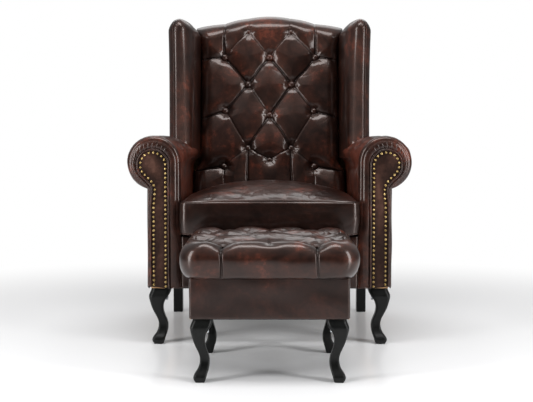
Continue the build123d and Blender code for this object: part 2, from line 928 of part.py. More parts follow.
with BuildPart() as back_foam:
    loft(sections=[pad_slice(pad_depth, 0), pad_slice(tuft_layer + fit_gap, 0)], ruled=True)
back_foam.part.label = "back_foam"
export_step(back_foam.part, "parts/back_foam.step")

with BuildPart() as back_cover:
    slices = [
        pad_slice(tuft_layer * depth_share, pad_edge_draw * draw_share)
        for depth_share, draw_share in zip(pad_edge_depth_shares, pad_edge_draw_shares)
    ]
    loft(sections=slices, ruled=True)
    add(
        [channel_cutter(raked(0), start, end) for start, end in back_lines],
        mode=Mode.SUBTRACT,
    )
    add(
        [dimple_cutter(raked(0), place) for row in back_buttons_places for place in row],
        mode=Mode.SUBTRACT,
    )
back_cover.part.label = "back_cover"
export_step(back_cover.part, "parts/back_cover.step")

with BuildPart() as back_buttons:
    for row in back_buttons_places:
        for place in row:
            add(button_at(raked(0), place))
back_buttons.part.label = "back_buttons"
export_step(back_buttons.part, "parts/back_buttons.step")

# Crest pad: the roll of felt and hide over the top of the crest rail
with BuildPart() as crest_pad:
    with BuildSketch(raked(pad_depth + fit_gap)):
        with BuildLine():
            side = pad_half_width
            over = ThreePointArc(
                (side, up(crest_corner_height)),
                (0, up(crest_height)),
                (-side, up(crest_corner_height)),
            )
            low = up(crest_corner_height - crest_cover)
            Polyline(over @ 1, (-side, low), (side, low), over @ 0)
        make_face()
    extrude(amount=-(outside_face - pad_depth - 2 * fit_gap))
    add(crest_rail.part, mode=Mode.SUBTRACT)
crest_pad.part.label = "crest_pad"
export_step(crest_pad.part, "parts/crest_pad.step")

# Outside back: one hide panel from crest to base, bent where the back starts to rake
shoulder_height = wing_arm_height
with BuildPart() as outside_back:
    with BuildSketch(Plane.YZ):
        with BuildLine():
            Polyline(
                *[(back_y(outside_face, z), z) for z in (base_height, bend_height, crest_height)],
                *[(back_y(back_depth, z), z) for z in (crest_height, bend_height, base_height)],
                close=True,
            )
        make_face()
    extrude(amount=base_half_width, both=True)
    with BuildSketch(upright(front_y)):
        with BuildLine():
            crown = ThreePointArc(
                (pad_half_width, crest_corner_height),
                (0, crest_height),
                (-pad_half_width, crest_corner_height),
            )
            Polyline(
                crown @ 1,
                (-wing_outer_rear_x, wing_top_height - wing_roll_radius),
                (-wing_outer_rear_x, shoulder_height),
                (-base_half_width, outside_arm_top),
                (-base_half_width, base_height),
                (base_half_width, base_height),
                (base_half_width, outside_arm_top),
                (wing_outer_rear_x, shoulder_height),
                (wing_outer_rear_x, wing_top_height - wing_roll_radius),
                crown @ 0,
            )
        make_face()
    extrude(amount=-2 * rear_reach, mode=Mode.INTERSECT)
outside_back.part.label = "outside_back"
export_step(outside_back.part, "parts/outside_back.step")

# Loose seat cushion: boxed sides drawn in at the seams, with a high crown
cushion_front_overhang = 30
cushion_clearance = 0.5
cushion_seam_height = 428
cushion_crown_height = 480
cushion_corner_radius = 40
cushion_side_draw = 12
cushion_crown_draw = 180
cushion_front_y = front_y - cushion_front_overhang
cushion_rear_y = pad_face_y(cushion_bottom) - cushion_clearance
cushion_half_width = inner_half_width - cushion_clearance
cushion_rise_shares = (0, 0.18, 0.5, 0.82, 1)
cushion_draw_shares = (1, 0.25, 0, 0.2, 0.6)
crown_rise_shares = (0, 0.34, 0.66, 0.88, 1)
crown_draw_shares = (0.04, 0.155, 0.365, 0.645, 1)


def cushion_slice(height, draw, inset):
    """A level slice of the cushion, drawn in from its widest outline."""
    length = cushion_rear_y - cushion_front_y
    with BuildSketch(level(height, (cushion_front_y + cushion_rear_y) / 2)) as cut:
        RectangleRounded(
            2 * (cushion_half_width - draw - inset),
            length - 2 * (draw + inset),
            cushion_corner_radius,
        )
    return cut.sketch


def cushion_form(inset):
    """The boxed lower part and the crown, drawn in by inset."""
    low = cushion_bottom + inset
    seam = cushion_seam_height
    high = cushion_crown_height - inset
    box = [cushion_slice(low + (seam - low) * rise, cushion_side_draw * draw, inset)
           for rise, draw in zip(cushion_rise_shares, cushion_draw_shares)]
    dome = [cushion_slice(seam + (high - seam) * rise, cushion_crown_draw * draw, inset)
            for rise, draw in zip(crown_rise_shares, crown_draw_shares)]
    with BuildPart() as form:
        loft(sections=box)
        loft(sections=dome)
    return form.part


with BuildPart() as seat_cushion_core:
    add(cushion_form(leather + fit_gap))
seat_cushion_core.part.label = "seat_cushion_core"
export_step(seat_cushion_core.part, "parts/seat_cushion_core.step")

with BuildPart() as seat_cushion_cover:
    add(cushion_form(0))
    add(cushion_form(leather), mode=Mode.SUBTRACT)
seat_cushion_cover.part.label = "seat_cushion_cover"
export_step(seat_cushion_cover.part, "parts/seat_cushion_cover.step")

# Footstool, in front of the chair and on its middle line
stool_base_height = 163
stool_box_height = 103
stool_box_half_width = 201
stool_half_width = 225.5
stool_length = 470
stool_box_setback = 25
stool_top_height = 362
stool_rail_thickness = 24
stool_leg_width = 59
stool_front_y = front_y - stool_reach
stool_mid_y = stool_front_y + stool_length / 2
stool_box_half_length = stool_length / 2 - stool_box_setback
stool_box_top = stool_base_height + stool_box_height
stool_frame_half_width = stool_box_half_width - leather - fit_gap
stool_frame_half_length = stool_box_half_length - leather - fit_gap

with BuildPart() as stool_side_rails:
    with BuildSketch(level(stool_base_height, stool_mid_y)):
        rail_x = stool_frame_half_width - stool_rail_thickness / 2
        with Locations((rail_x, 0), (-rail_x, 0)):
            Rectangle(stool_rail_thickness, 2 * stool_frame_half_length)
    extrude(amount=stool_box_height)
stool_side_rails.part.label = "stool_side_rails"
export_step(stool_side_rails.part, "parts/stool_side_rails.step")

with BuildPart() as stool_end_rails:
    with BuildSketch(level(stool_base_height, stool_mid_y)):
        rail_y = stool_frame_half_length - stool_rail_thickness / 2
        with Locations((0, rail_y), (0, -rail_y)):
            Rectangle(
                2 * (stool_frame_half_width - stool_rail_thickness), stool_rail_thickness
            )
    extrude(amount=stool_box_height)
stool_end_rails.part.label = "stool_end_rails"
export_step(stool_end_rails.part, "parts/stool_end_rails.step")

stool_corner_x = stool_frame_half_width - stool_rail_thickness
stool_corner_y = stool_frame_half_length - stool_rail_thickness
stool_block_size = 50
stool_block_height = 60
stool_bolt_inset = 41
with BuildPart() as stool_corner_blocks:
    with BuildSketch(level(stool_base_height, stool_mid_y)):
        for x_side in (1, -1):
            for y_side in (1, -1):
                with BuildLine():
                    Polyline(
                        (x_side * stool_corner_x, y_side * stool_corner_y),
                        (x_side * (stool_corner_x - stool_block_size), y_side * stool_corner_y),
                        (x_side * stool_corner_x, y_side * (stool_corner_y - stool_block_size)),
                        close=True,
                    )
                make_face()
        with Locations(
            [(x_side * (stool_frame_half_width - stool_bolt_inset),
              y_side * (stool_frame_half_length - stool_bolt_inset))
             for x_side in (1, -1) for y_side in (1, -1)]
        ):
            Circle(bolt_radius + bolt_clearance, mode=Mode.SUBTRACT)
    extrude(amount=stool_block_height)
stool_corner_blocks.part.label = "stool_corner_blocks"
export_step(stool_corner_blocks.part, "parts/stool_corner_blocks.step")

stool_bolt_in_frame = 45
with BuildPart() as stool_leg_bolts:
    with BuildSketch(level(stool_base_height - bolt_in_leg, stool_mid_y)):
        with Locations(
            [(x_side * (stool_frame_half_width - stool_bolt_inset),
              y_side * (stool_frame_half_length - stool_bolt_inset))
             for x_side in (1, -1) for y_side in (1, -1)]
        ):
            Circle(bolt_radius)
    extrude(amount=bolt_in_leg + stool_bolt_in_frame)
stool_leg_bolts.part.label = "stool_leg_bolts"
export_step(stool_leg_bolts.part, "parts/stool_leg_bolts.step")

for end_name, y_side in (("front", -1), ("rear", 1)):
    with BuildPart() as stool_leg:
        add(
            cabriole(
                stool_frame_half_width,
                stool_mid_y + y_side * stool_frame_half_length,
                stool_leg_width,
                stool_base_height,
                -1,
                -y_side,
            )
        )
        add(
            bolt_hole(
                stool_frame_half_width - stool_bolt_inset,
                stool_mid_y + y_side * (stool_frame_half_length - stool_bolt_inset),
                stool_base_height,
                bolt_in_leg + fit_gap,
                True,
            ),
            mode=Mode.SUBTRACT,
        )
    save_pair(stool_leg, f"stool_{end_name}_leg")

# Stool border: the hide round the four sides of the box
with BuildPart() as stool_border:
    with BuildSketch(level(stool_base_height, stool_mid_y)):
        Rectangle(2 * stool_box_half_width, 2 * stool_box_half_length)
        Rectangle(
            2 * (stool_box_half_width - leather),
            2 * (stool_box_half_length - leather),
            mode=Mode.SUBTRACT,
        )
    extrude(amount=stool_box_height)
stool_border.part.label = "stool_border"
export_step(stool_border.part, "parts/stool_border.step")

with BuildPart() as stool_dust_cover:
    with BuildSketch(level(stool_base_height, stool_mid_y)):
        Rectangle(2 * stool_frame_half_width, 2 * stool_frame_half_length)
        with Locations(
            [(x_side * stool_frame_half_width, y_side * stool_frame_half_length)
             for x_side in (1, -1) for y_side in (1, -1)]
        ):
            notch = 2 * (stool_leg_width + fit_gap)
            Rectangle(notch, notch, mode=Mode.SUBTRACT)
    extrude(amount=-dust_thickness)
stool_dust_cover.part.label = "stool_dust_cover"
export_step(stool_dust_cover.part, "parts/stool_dust_cover.step")

# Stool webbing: straps across the top of the rails
stool_strap_width = 60
stool_strap_count = 5
strap_spacing = 2 * stool_frame_half_length / stool_strap_count
with BuildPart() as stool_webbing:
    with BuildSketch(level(stool_box_top, stool_mid_y)):
        with GridLocations(0, strap_spacing, 1, stool_strap_count):
            Rectangle(2 * stool_frame_half_width, stool_strap_width)
    extrude(amount=webbing_thickness)
stool_webbing.part.label = "stool_webbing"
export_step(stool_webbing.part, "parts/stool_webbing.step")

# Stool top: a deep tufted pad that overhangs the box
stool_pad_bottom = stool_box_top + webbing_thickness + fit_gap
stool_corner_radius = 48
stool_core_draw = 32
stool_edge_draw = 34
stool_tuft_reach_share = 0.6
stool_rise_shares = (0, 0.12, 0.4, 0.66, 0.86, 1)
stool_draw_shares = (0.7, 0.24, 0, 0.12, 0.41, 1)
stool_row_shares = (-0.74, -0.37, 0, 0.37, 0.74)
stool_even_shares = (-0.5, 0.5)
stool_odd_shares = (-0.86, 0, 0.86)
stool_rows = [
    [(stool_half_width * share, -stool_length / 2 * row_share)
     for share in (stool_even_shares if index % 2 == 0 else stool_odd_shares)]
    for index, row_share in enumerate(stool_row_shares)
]
stool_lines = tuft_lines(stool_rows, stool_half_width * stool_tuft_reach_share)
for row, end in ((stool_rows[0], stool_length / 2), (stool_rows[-1], -stool_length / 2)):
    for place in row:
        stool_lines.append((place, (place[0], end)))
for row in (stool_rows[1], stool_rows[3]):
    for place in (row[0], row[-1]):
        stool_lines.append((place, (math.copysign(stool_half_width, place[0]), place[1])))


def stool_core(inset):
    """The plain foam block inside the stool's cover, drawn in by inset."""
    with BuildPart() as core:
        with BuildSketch(level(stool_pad_bottom, stool_mid_y)):
            RectangleRounded(
                2 * (stool_half_width - stool_core_draw - inset),
                stool_length - 2 * (stool_core_draw + inset),
                stool_corner_radius,
            )
        extrude(amount=stool_top_height - tuft_layer - stool_pad_bottom - inset)
    return core.part


with BuildPart() as stool_foam:
    add(stool_core(fit_gap))
stool_foam.part.label = "stool_foam"
export_step(stool_foam.part, "parts/stool_foam.step")

stool_face = level(stool_top_height, stool_mid_y)
with BuildPart() as stool_cover:
    slices = []
    for rise, draw_share in zip(stool_rise_shares, stool_draw_shares):
        draw = stool_edge_draw * draw_share
        slice_height = stool_pad_bottom + (stool_top_height - stool_pad_bottom) * rise
        with BuildSketch(level(slice_height, stool_mid_y), mode=Mode.PRIVATE) as cut:
            RectangleRounded(
                2 * (stool_half_width - draw),
                stool_length - 2 * draw,
                stool_corner_radius,
            )
        slices.append(cut.sketch)
    loft(sections=slices)
    add(
        [channel_cutter(stool_face, start, end) for start, end in stool_lines],
        mode=Mode.SUBTRACT,
    )
    add(
        [dimple_cutter(stool_face, place) for row in stool_rows for place in row],
        mode=Mode.SUBTRACT,
    )
    add(stool_core(0), mode=Mode.SUBTRACT)
stool_cover.part.label = "stool_cover"
export_step(stool_cover.part, "parts/stool_cover.step")

with BuildPart() as stool_buttons:
    for row in stool_rows:
        for place in row:
            add(button_at(level(stool_top_height, stool_mid_y), place))
stool_buttons.part.label = "stool_buttons"
export_step(stool_buttons.part, "parts/stool_buttons.step")
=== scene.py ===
import bmesh
import bpy
import json
import math
import numpy as np
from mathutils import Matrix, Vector


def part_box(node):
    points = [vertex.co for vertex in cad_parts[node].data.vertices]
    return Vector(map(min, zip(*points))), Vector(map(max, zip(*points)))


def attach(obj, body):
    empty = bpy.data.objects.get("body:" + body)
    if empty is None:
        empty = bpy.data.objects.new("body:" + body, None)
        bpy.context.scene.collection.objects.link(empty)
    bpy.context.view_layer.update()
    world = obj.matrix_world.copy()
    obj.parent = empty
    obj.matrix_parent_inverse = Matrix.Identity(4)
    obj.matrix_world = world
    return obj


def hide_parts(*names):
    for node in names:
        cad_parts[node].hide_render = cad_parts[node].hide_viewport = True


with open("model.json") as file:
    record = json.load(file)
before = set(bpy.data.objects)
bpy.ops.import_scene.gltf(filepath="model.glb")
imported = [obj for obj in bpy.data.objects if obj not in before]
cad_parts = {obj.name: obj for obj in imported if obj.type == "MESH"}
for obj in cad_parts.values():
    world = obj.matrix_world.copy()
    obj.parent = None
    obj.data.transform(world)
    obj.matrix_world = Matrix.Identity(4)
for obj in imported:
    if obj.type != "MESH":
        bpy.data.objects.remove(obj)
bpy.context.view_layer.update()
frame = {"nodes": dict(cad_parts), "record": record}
nodes = frame["nodes"]
print("frame loaded with", len(nodes), "nodes")

# Places shared by the whole chair, in metres, most of them read from the frame
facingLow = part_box("facing_right")[0]
frontY = facingLow.y
baseZ = facingLow.z
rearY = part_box("outside_back")[1].y
cushionLow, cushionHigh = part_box("seat_cushion_cover")
chair = dict(innerX=0.262, sideX=0.3605, rake=10.5, bendZ=0.48, faceY=0.41195)
rakeSlope = math.tan(math.radians(chair["rake"]))
rakeCos = math.cos(math.radians(chair["rake"]))
rakeSin = math.sin(math.radians(chair["rake"]))


# Small tools for surfaces

def clean(obj):
    # merges doubles, then turns every face outwards
    work = bmesh.new()
    work.from_mesh(obj.data)
    bmesh.ops.remove_doubles(work, verts=work.verts, dist=0.00001)
    bmesh.ops.dissolve_degenerate(work, edges=work.edges, dist=0.000005)
    bmesh.ops.recalc_face_normals(work, faces=work.faces)
    work.to_mesh(obj.data)
    work.free()
    obj.data.update()
    return obj


def makePiece(name, points, quads, fold=None, triangles=None):
    # a mesh from an array of points and one of quads, with the fold share kept on its points
    mesh = bpy.data.meshes.new(name)
    points = np.asarray(points, float).reshape(-1, 3)
    triangles = np.zeros((0, 3), int) if triangles is None else triangles
    corners = np.concatenate([quads.ravel(), triangles.ravel()])
    starts = np.concatenate([np.arange(len(quads)) * 4, quads.size + np.arange(len(triangles)) * 3])
    mesh.vertices.add(len(points))
    mesh.vertices.foreach_set("co", points.astype(np.float32).ravel())
    mesh.loops.add(len(corners))
    mesh.loops.foreach_set("vertex_index", corners.astype(np.int32))
    mesh.polygons.add(len(starts))
    mesh.polygons.foreach_set("loop_start", starts.astype(np.int32))
    mesh.polygons.foreach_set("use_smooth", np.ones(len(starts), bool))
    mesh.update(calc_edges=True)
    attribute = mesh.attributes.new("fold", "FLOAT", "POINT")
    values = np.zeros(len(points)) if fold is None else np.asarray(fold, float).ravel()
    attribute.data.foreach_set("value", values.astype(np.float32))
    obj = bpy.data.objects.new(name, mesh)
    bpy.context.scene.collection.objects.link(obj)
    return clean(obj)


def tubeQuads(rows, count):
    # rows of closed loops, each end closed by a strip laid across its loop
    index = np.arange(rows * count).reshape(rows, count)
    after = np.roll(index, -1, axis=1)
    sides = np.stack([index[:-1], after[:-1], after[1:], index[1:]], -1).reshape(-1, 4)
    near = np.arange(count // 2 - 1)
    strip = np.stack([near, near + 1, count - 2 - near, count - 1 - near], -1)
    return np.concatenate([sides, strip, strip + (rows - 1) * count])


def slabFaces(rows, front, rear):
    # rows of closed loops of front points, then fewer rear points; the ends are closed by
    # triangles that walk up both sides of the end loop at once
    count = front + rear
    index = np.arange(rows * count).reshape(rows, count)
    after = np.roll(index, -1, axis=1)
    sides = np.stack([index[:-1], after[:-1], after[1:], index[1:]], -1).reshape(-1, 4)
    step = np.arange(front - 1)
    partner = step * (rear - 1) // (front - 1)
    change = np.append(np.searchsorted(partner, np.arange(1, rear - 1)), front - 1)
    facing = np.stack([step, step + 1, count - 1 - partner], -1)
    behind = np.arange(rear - 1)
    backing = np.stack([count - 1 - behind, count - 2 - behind, change], -1)
    cap = np.concatenate([facing, backing])
    return sides, np.concatenate([cap, cap + (rows - 1) * count])


def ringQuads(rows, count):
    # rows of closed loops that also close on themselves the other way, as a ring does
    index = np.arange(rows * count).reshape(rows, count)
    after = np.roll(index, -1, axis=1)
    below = np.roll(index, -1, axis=0)
    corner = np.roll(after, -1, axis=0)
    return np.stack([index, after, corner, below], -1).reshape(-1, 4)


def gridQuads(rows, count, first=0):
    index = first + np.arange(rows * count).reshape(rows, count)
    return np.stack([index[:-1, :-1], index[:-1, 1:], index[1:, 1:], index[1:, :-1]], -1).reshape(-1, 4)


def normalsOf(points):
    # the cross product of the two grid directions at each point
    across = np.gradient(points, axis=1)
    along = np.gradient(points, axis=0)
    normals = np.cross(across, along)
    return normals / np.maximum(np.linalg.norm(normals, axis=-1, keepdims=True), 1e-12)


def outwardNormals(points, place, way):
    # the grid's normals, turned so that the one at a place goes the given way
    normals = normalsOf(points)
    return normals if normals[place] @ np.asarray(way) > 0 else -normals


def smooth(value, low, high):
    share = unit((value - low) / (high - low))
    return share * share * (3 - 2 * share)


def mix(start, end, share):
    return start + (end - start) * share


def unit(value):
    return np.clip(value, 0, 1)


def bell(value, width):
    # 1 at zero, and almost nothing two widths away
    return np.exp(-(value / width) ** 2)


def stacked(*parts):
    return np.stack(parts, -1)


def softEdge(reach):
    # a quarter round that climbs from 0 at an edge to 1 at a reach of one
    return np.sqrt(1 - (1 - unit(reach)) ** 2)


def waves(points, length, seed, count=8):
    # sum of plane waves in random directions, each about one length long, near -1 to 1
    random = np.random.default_rng(seed)
    ways = random.normal(size=(count, 3))
    ways /= np.linalg.norm(ways, axis=1, keepdims=True)
    total = np.zeros(points.shape[:-1])
    for way in ways:
        rate = 2 * math.pi / length * random.uniform(0.6, 1.5)
        total += np.sin(points @ way * rate + random.uniform(0, 2 * math.pi))
    return total / math.sqrt(count)


def creases(points, length, seed, sharpness=5):
    # narrow valleys where a warped wave crosses zero, 0 away from them and 1 in them
    warped = points + 0.35 * length * np.stack(
        [waves(points, length * 1.7, seed + shift) for shift in (1, 2, 3)], -1)
    return np.exp(-sharpness * np.abs(waves(warped, length, seed)))


def relief(kind, points, layer, seed, *more):
    # waves or creases of one height and length
    height, length = layer
    return height * kind(points, length, seed, *more)


def tube(name, path, radius, closed=False, sides=10):
    # a round cord along a path: a circle square to the path at each of its points
    path = np.asarray(path, float)
    if closed:
        ahead = np.roll(path, -1, axis=0) - np.roll(path, 1, axis=0)
    else:
        ahead = np.gradient(path, axis=0)
    ahead /= np.linalg.norm(ahead, axis=1, keepdims=True)
    hint = np.array([0.31, 0.17, 0.93])
    across = np.cross(ahead, hint)
    across /= np.linalg.norm(across, axis=1, keepdims=True)
    for step in range(1, len(path)):
        # carry the first frame along, so that the cord doesn't twist
        lean = across[step - 1] - ahead[step] * (across[step - 1] @ ahead[step])
        across[step] = lean / np.linalg.norm(lean)
    other = np.cross(ahead, across)
    turn = np.linspace(0, 2 * math.pi, sides, endpoint=False)
    ring = (path[:, None] + radius * (across[:, None] * np.cos(turn)[None, :, None]
                                      + other[:, None] * np.sin(turn)[None, :, None]))
    quads = ringQuads(len(path), sides) if closed else tubeQuads(len(path), sides)
    return makePiece(name, ring, quads)


def resample(path, step, closed=False):
    # the same path with points at equal steps
    path = np.asarray(path, float)
    if closed:
        path = np.concatenate([path, path[:1]])
    lengths = np.concatenate([[0], np.cumsum(np.linalg.norm(np.diff(path, axis=0), axis=1))])
    count = max(int(lengths[-1] / step), 3)
    places = np.linspace(0, lengths[-1], count + 1)
    if closed:
        places = places[:-1]
    return np.stack([np.interp(places, lengths, path[:, axis]) for axis in range(3)], -1)


def mirrored(points):
    return points * np.array([-1.0, 1.0, 1.0])


def onSide(side, points):
    return points if side == "right" else mirrored(points)


def sheet(name, front, rear, folds, rearFold=0.0):
    # a thin panel: each row runs out across the front and back across the rear
    rows = np.concatenate([front, rear[:, ::-1]], axis=1)
    folds = np.concatenate([folds, np.full_like(folds, rearFold)], axis=1)
    return makePiece(name, rows, tubeQuads(*rows.shape[:2]), folds)


# Materials

def toLinear(colour):
    # sRGB hex to linear values
    parts = [int(colour[place:place + 2], 16) / 255 for place in (1, 3, 5)]
    return [part / 12.92 if part <= 0.04045 else ((part + 0.055) / 1.055) ** 2.4
            for part in parts] + [1.0]


def addNode(tree, kind, settings=None, links=None):
    # one node: words set its own settings, names or numbers of sockets set their values
    node = tree.nodes.new(kind)
    for key, value in (settings or {}).items():
        if isinstance(key, int) or key in node.inputs:
            node.inputs[key].default_value = value
        else:
            setattr(node, key, value)
    for key, source in (links or {}).items():
        tree.links.new(source, node.inputs[key])
    return node


def newMaterial(name):
    material = bpy.data.materials.new(name)
    material.use_nodes = True
    tree = material.node_tree
    tree.nodes.clear()
    return material, tree


def addRamp(tree, source, stops):
    ramp = addNode(tree, "ShaderNodeValToRGB", links={"Fac": source})
    while len(ramp.color_ramp.elements) < len(stops):
        ramp.color_ramp.elements.new(0.5)
    for element, (place, colour) in zip(ramp.color_ramp.elements, stops):
        element.position = place
        element.color = toLinear(colour)
    return ramp.outputs["Color"]


def addNoise(tree, place, sizeMm, detail, roughness, distortion=0.0):
    # cloudy noise near 0 to 1, its scale set by a real size
    return addNode(tree, "ShaderNodeTexNoise",
                   {"Scale": 1000 / sizeMm, "Detail": detail, "Roughness": roughness,
                    "Distortion": distortion}, {"Vector": place}).outputs["Fac"]


def addSurface(tree, settings, links):
    shader = addNode(tree, "ShaderNodeBsdfPrincipled", settings, links)
    addNode(tree, "ShaderNodeOutputMaterial", links={"Surface": shader.outputs[0]})


def leather(name, look):
    # aniline hide, hand antiqued: a glossy dark top coat, rubbed back to red-brown on the crowns; the
    # fold share also darkens creases, seams and hollows as painted shade
    material, tree = newMaterial(name)
    place = addNode(tree, "ShaderNodeTexCoord").outputs["Object"]
    fold = addNode(tree, "ShaderNodeAttribute", {"attribute_name": "fold"}).outputs["Fac"]
    clouds = addNoise(tree, place, look["cloudMm"], 6.0, 0.62, 0.6)
    specks = addNoise(tree, place, look["speckMm"], 5.0, 0.7)
    mixed = addNode(tree, "ShaderNodeMath", {"operation": "MULTIPLY_ADD", 1: 0.45},
                    {0: specks, 2: clouds}).outputs[0]
    # the hide's mottle, darkened by the fold share: partly the top coat left in the folds, partly painted
    # shade
    wearAndShade = addNode(tree, "ShaderNodeMath", {"operation": "MULTIPLY_ADD", 1: -look["foldShade"]},
                   {0: fold, 2: mixed}).outputs[0]
    colour = addRamp(tree, wearAndShade, look["stops"])
    # pebble of the hide, drawn a little coarser than the real 1 mm so that it shows
    pebble = addNode(tree, "ShaderNodeTexVoronoi",
                     {"Scale": 1000 / look["pebbleMm"], "feature": "SMOOTH_F1", "Smoothness": 0.6},
                     {"Vector": place}).outputs["Distance"]
    crinkle = addNoise(tree, place, look["crinkleMm"], 4.0, 0.55, 1.2)
    low = addNode(tree, "ShaderNodeBump", {"Strength": look["crinkle"], "Distance": 0.004},
                  {"Height": crinkle})
    fine = addNode(tree, "ShaderNodeBump", {"Strength": look["pebble"], "Distance": 0.0008},
                   {"Height": pebble, "Normal": low.outputs["Normal"]})
    rough = addNode(tree, "ShaderNodeMapRange",
                    {"To Min": look["rough"][0], "To Max": look["rough"][1], "From Min": 0.3,
                     "From Max": 0.75}, {"Value": mixed}).outputs["Result"]
    addSurface(tree, {"IOR": 1.46, "Coat Weight": look["coat"], "Coat Roughness": look["coatRough"],
                      "Specular IOR Level": look["specular"], "Specular Tint": toLinear(look["tint"])},
               {"Base Color": colour, "Roughness": rough, "Normal": fine.outputs["Normal"]})
    return material


hides = dict(
    oxblood_leather=dict(
        cloudMm=80, speckMm=14, pebbleMm=2.6, crinkleMm=24, foldShade=0.45,
        stops=((0.44, "#0a0504"), (0.64, "#190d0a"), (0.80, "#2b1610"), (1.0, "#5e2d20")),
        rough=(0.26, 0.38), coat=0.5, coatRough=0.14, specular=0.36, tint="#e8b9a8", crinkle=0.02,
        pebble=0.10),
    # the flat facings: the same hide, duller, with a painted sheen that makes them paler along the middle
    facing_leather=dict(
        cloudMm=120, speckMm=14, pebbleMm=2.2, crinkleMm=40, foldShade=0.5,
        stops=((0.36, "#0a0605"), (0.58, "#1a0f0c"), (0.74, "#33211b"), (0.90, "#4a332b")),
        rough=(0.42, 0.54), coat=0.1, coatRough=0.3, specular=0.36, tint="#e8b9a8", crinkle=0.06,
        pebble=0.16))
finishOfSlot = {name: leather(name, look) for name, look in hides.items()}
print("leather made")


def plainFinish(name, look):
    # one surface with two colours mottled by noise, and a bump of the same noise
    material, tree = newMaterial(name)
    place = addNode(tree, "ShaderNodeTexCoord").outputs["Object"]
    if look.get("stretch"):
        place = addNode(tree, "ShaderNodeMapping", {"Scale": look["stretch"]},
                        {"Vector": place}).outputs[0]
    grain = addNoise(tree, place, look["grainMm"], 6.0, 0.6, look.get("swirl", 0.0))
    colour = addRamp(tree, grain, ((0.3, look["dark"]), (0.7, look["light"])))
    bump = addNode(tree, "ShaderNodeBump", {"Strength": look["bump"], "Distance": 0.001},
                   {"Height": grain})
    rough = addNode(tree, "ShaderNodeMapRange",
                    {"To Min": look["rough"][0], "To Max": look["rough"][1]},
                    {"Value": grain}).outputs["Result"]
    addSurface(tree, {"Metallic": look.get("metallic", 0.0), "Coat Weight": look.get("coat", 0.0),
                      "Coat Roughness": 0.12, "Sheen Weight": look.get("sheen", 0.0),
                      "Specular IOR Level": look.get("specular", 0.5)},
               {"Base Color": colour, "Roughness": rough, "Normal": bump.outputs["Normal"]})
    return material


finishes = dict(
    # brushed black lacquer on beech: satin, a little streaky along the leg
    black_lacquer=dict(
        grainMm=22, stretch=(1, 1, 0.2), dark="#050605", light="#0d0e0d", bump=0.08,
        rough=(0.30, 0.44), coat=0.04, specular=0.2),
    # cast brass nail heads, toned brown in the hollows
    antique_brass=dict(
        grainMm=6, dark="#7a6232", light="#cdb27a", bump=0.1, rough=(0.22, 0.36), metallic=1.0),
    # planed beech, pale with fine long grain
    beech=dict(
        grainMm=9, stretch=(1, 1, 0.1), swirl=1.4, dark="#a9794f", light="#d2a878", bump=0.1,
        rough=(0.5, 0.62)),
    # drawn steel wire and clips, dull grey
    spring_steel=dict(
        grainMm=4, dark="#5b5c5e", light="#85878a", bump=0.06, rough=(0.34, 0.48), metallic=1.0),
    # bright steel of the leg bolts
    bolt_steel=dict(
        grainMm=5, dark="#8f9296", light="#b7babd", bump=0.05, rough=(0.28, 0.4), metallic=1.0),
    # woven jute straps, drawn with a coarse weave so that it shows
    webbing=dict(
        grainMm=3, stretch=(1, 1, 4), dark="#6b5235", light="#a98a5e", bump=0.5, rough=(0.8, 0.95)),
    # cut upholstery foam and felt
    foam_and_felt=dict(
        grainMm=3, dark="#c7b78f", light="#e2d6b4", bump=0.4, rough=(0.85, 0.98)),
    # black non-woven bottom cloth
    black_cloth=dict(
        grainMm=2.5, dark="#0d0d0e", light="#1c1c1e", bump=0.3, rough=(0.8, 0.95), sheen=0.2))
finishOfSlot |= {name: plainFinish(name, look) for name, look in finishes.items()}

for part in frame["record"]["subparts"]:
    node = nodes[part["node"]]
    node.data.materials.clear()
    node.data.materials.append(finishOfSlot[part["material_slot"]])
print("materials on", len(nodes), "nodes")


def dress(piece, body, slot, *replaced, fill=None):
    # gives a new piece its finish, its body and the nodes that it stands for
    piece.data.materials.clear()
    piece.data.materials.append(finishOfSlot[slot])
    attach(piece, body)
    if replaced:
        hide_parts(*replaced)


# Tufting, shared by the back and the footstool
hide = dict(
    freeBetween=(0.010, 0.055), driftLength=0.15, fallPower=1.7, creaseFold=0.75, valleyFold=0.2,
    valleyBetween=(0.6, 1.0), bowl=0.6, gathers=(6, 9), gatherStray=0.35,
    gatherLength=(0.55, 1.0), gatherHeight=(0.4, 1.0), gatherStart=(0.010, 0.018),
    gatherEnd=0.3, gatherWidth=0.0026, gatherWiden=0.07, widenReach=0.1, gatherFold=0.4)
buttonShape = dict(
    reach=(0.0, 0.3, 0.55, 0.78, 0.93, 1.0, 0.97, 0.8),
    height=(1.0, 0.96, 0.84, 0.6, 0.32, 0.0, -0.35, -0.6), sides=28, frill=0.02, frills=14)


def segmentDistance(flat, start, end):
    start, end = np.array(start), np.array(end)
    run = end - start
    share = unit(((flat - start) @ run) / (run @ run))
    return np.linalg.norm(flat - start - share[..., None] * run, axis=-1)


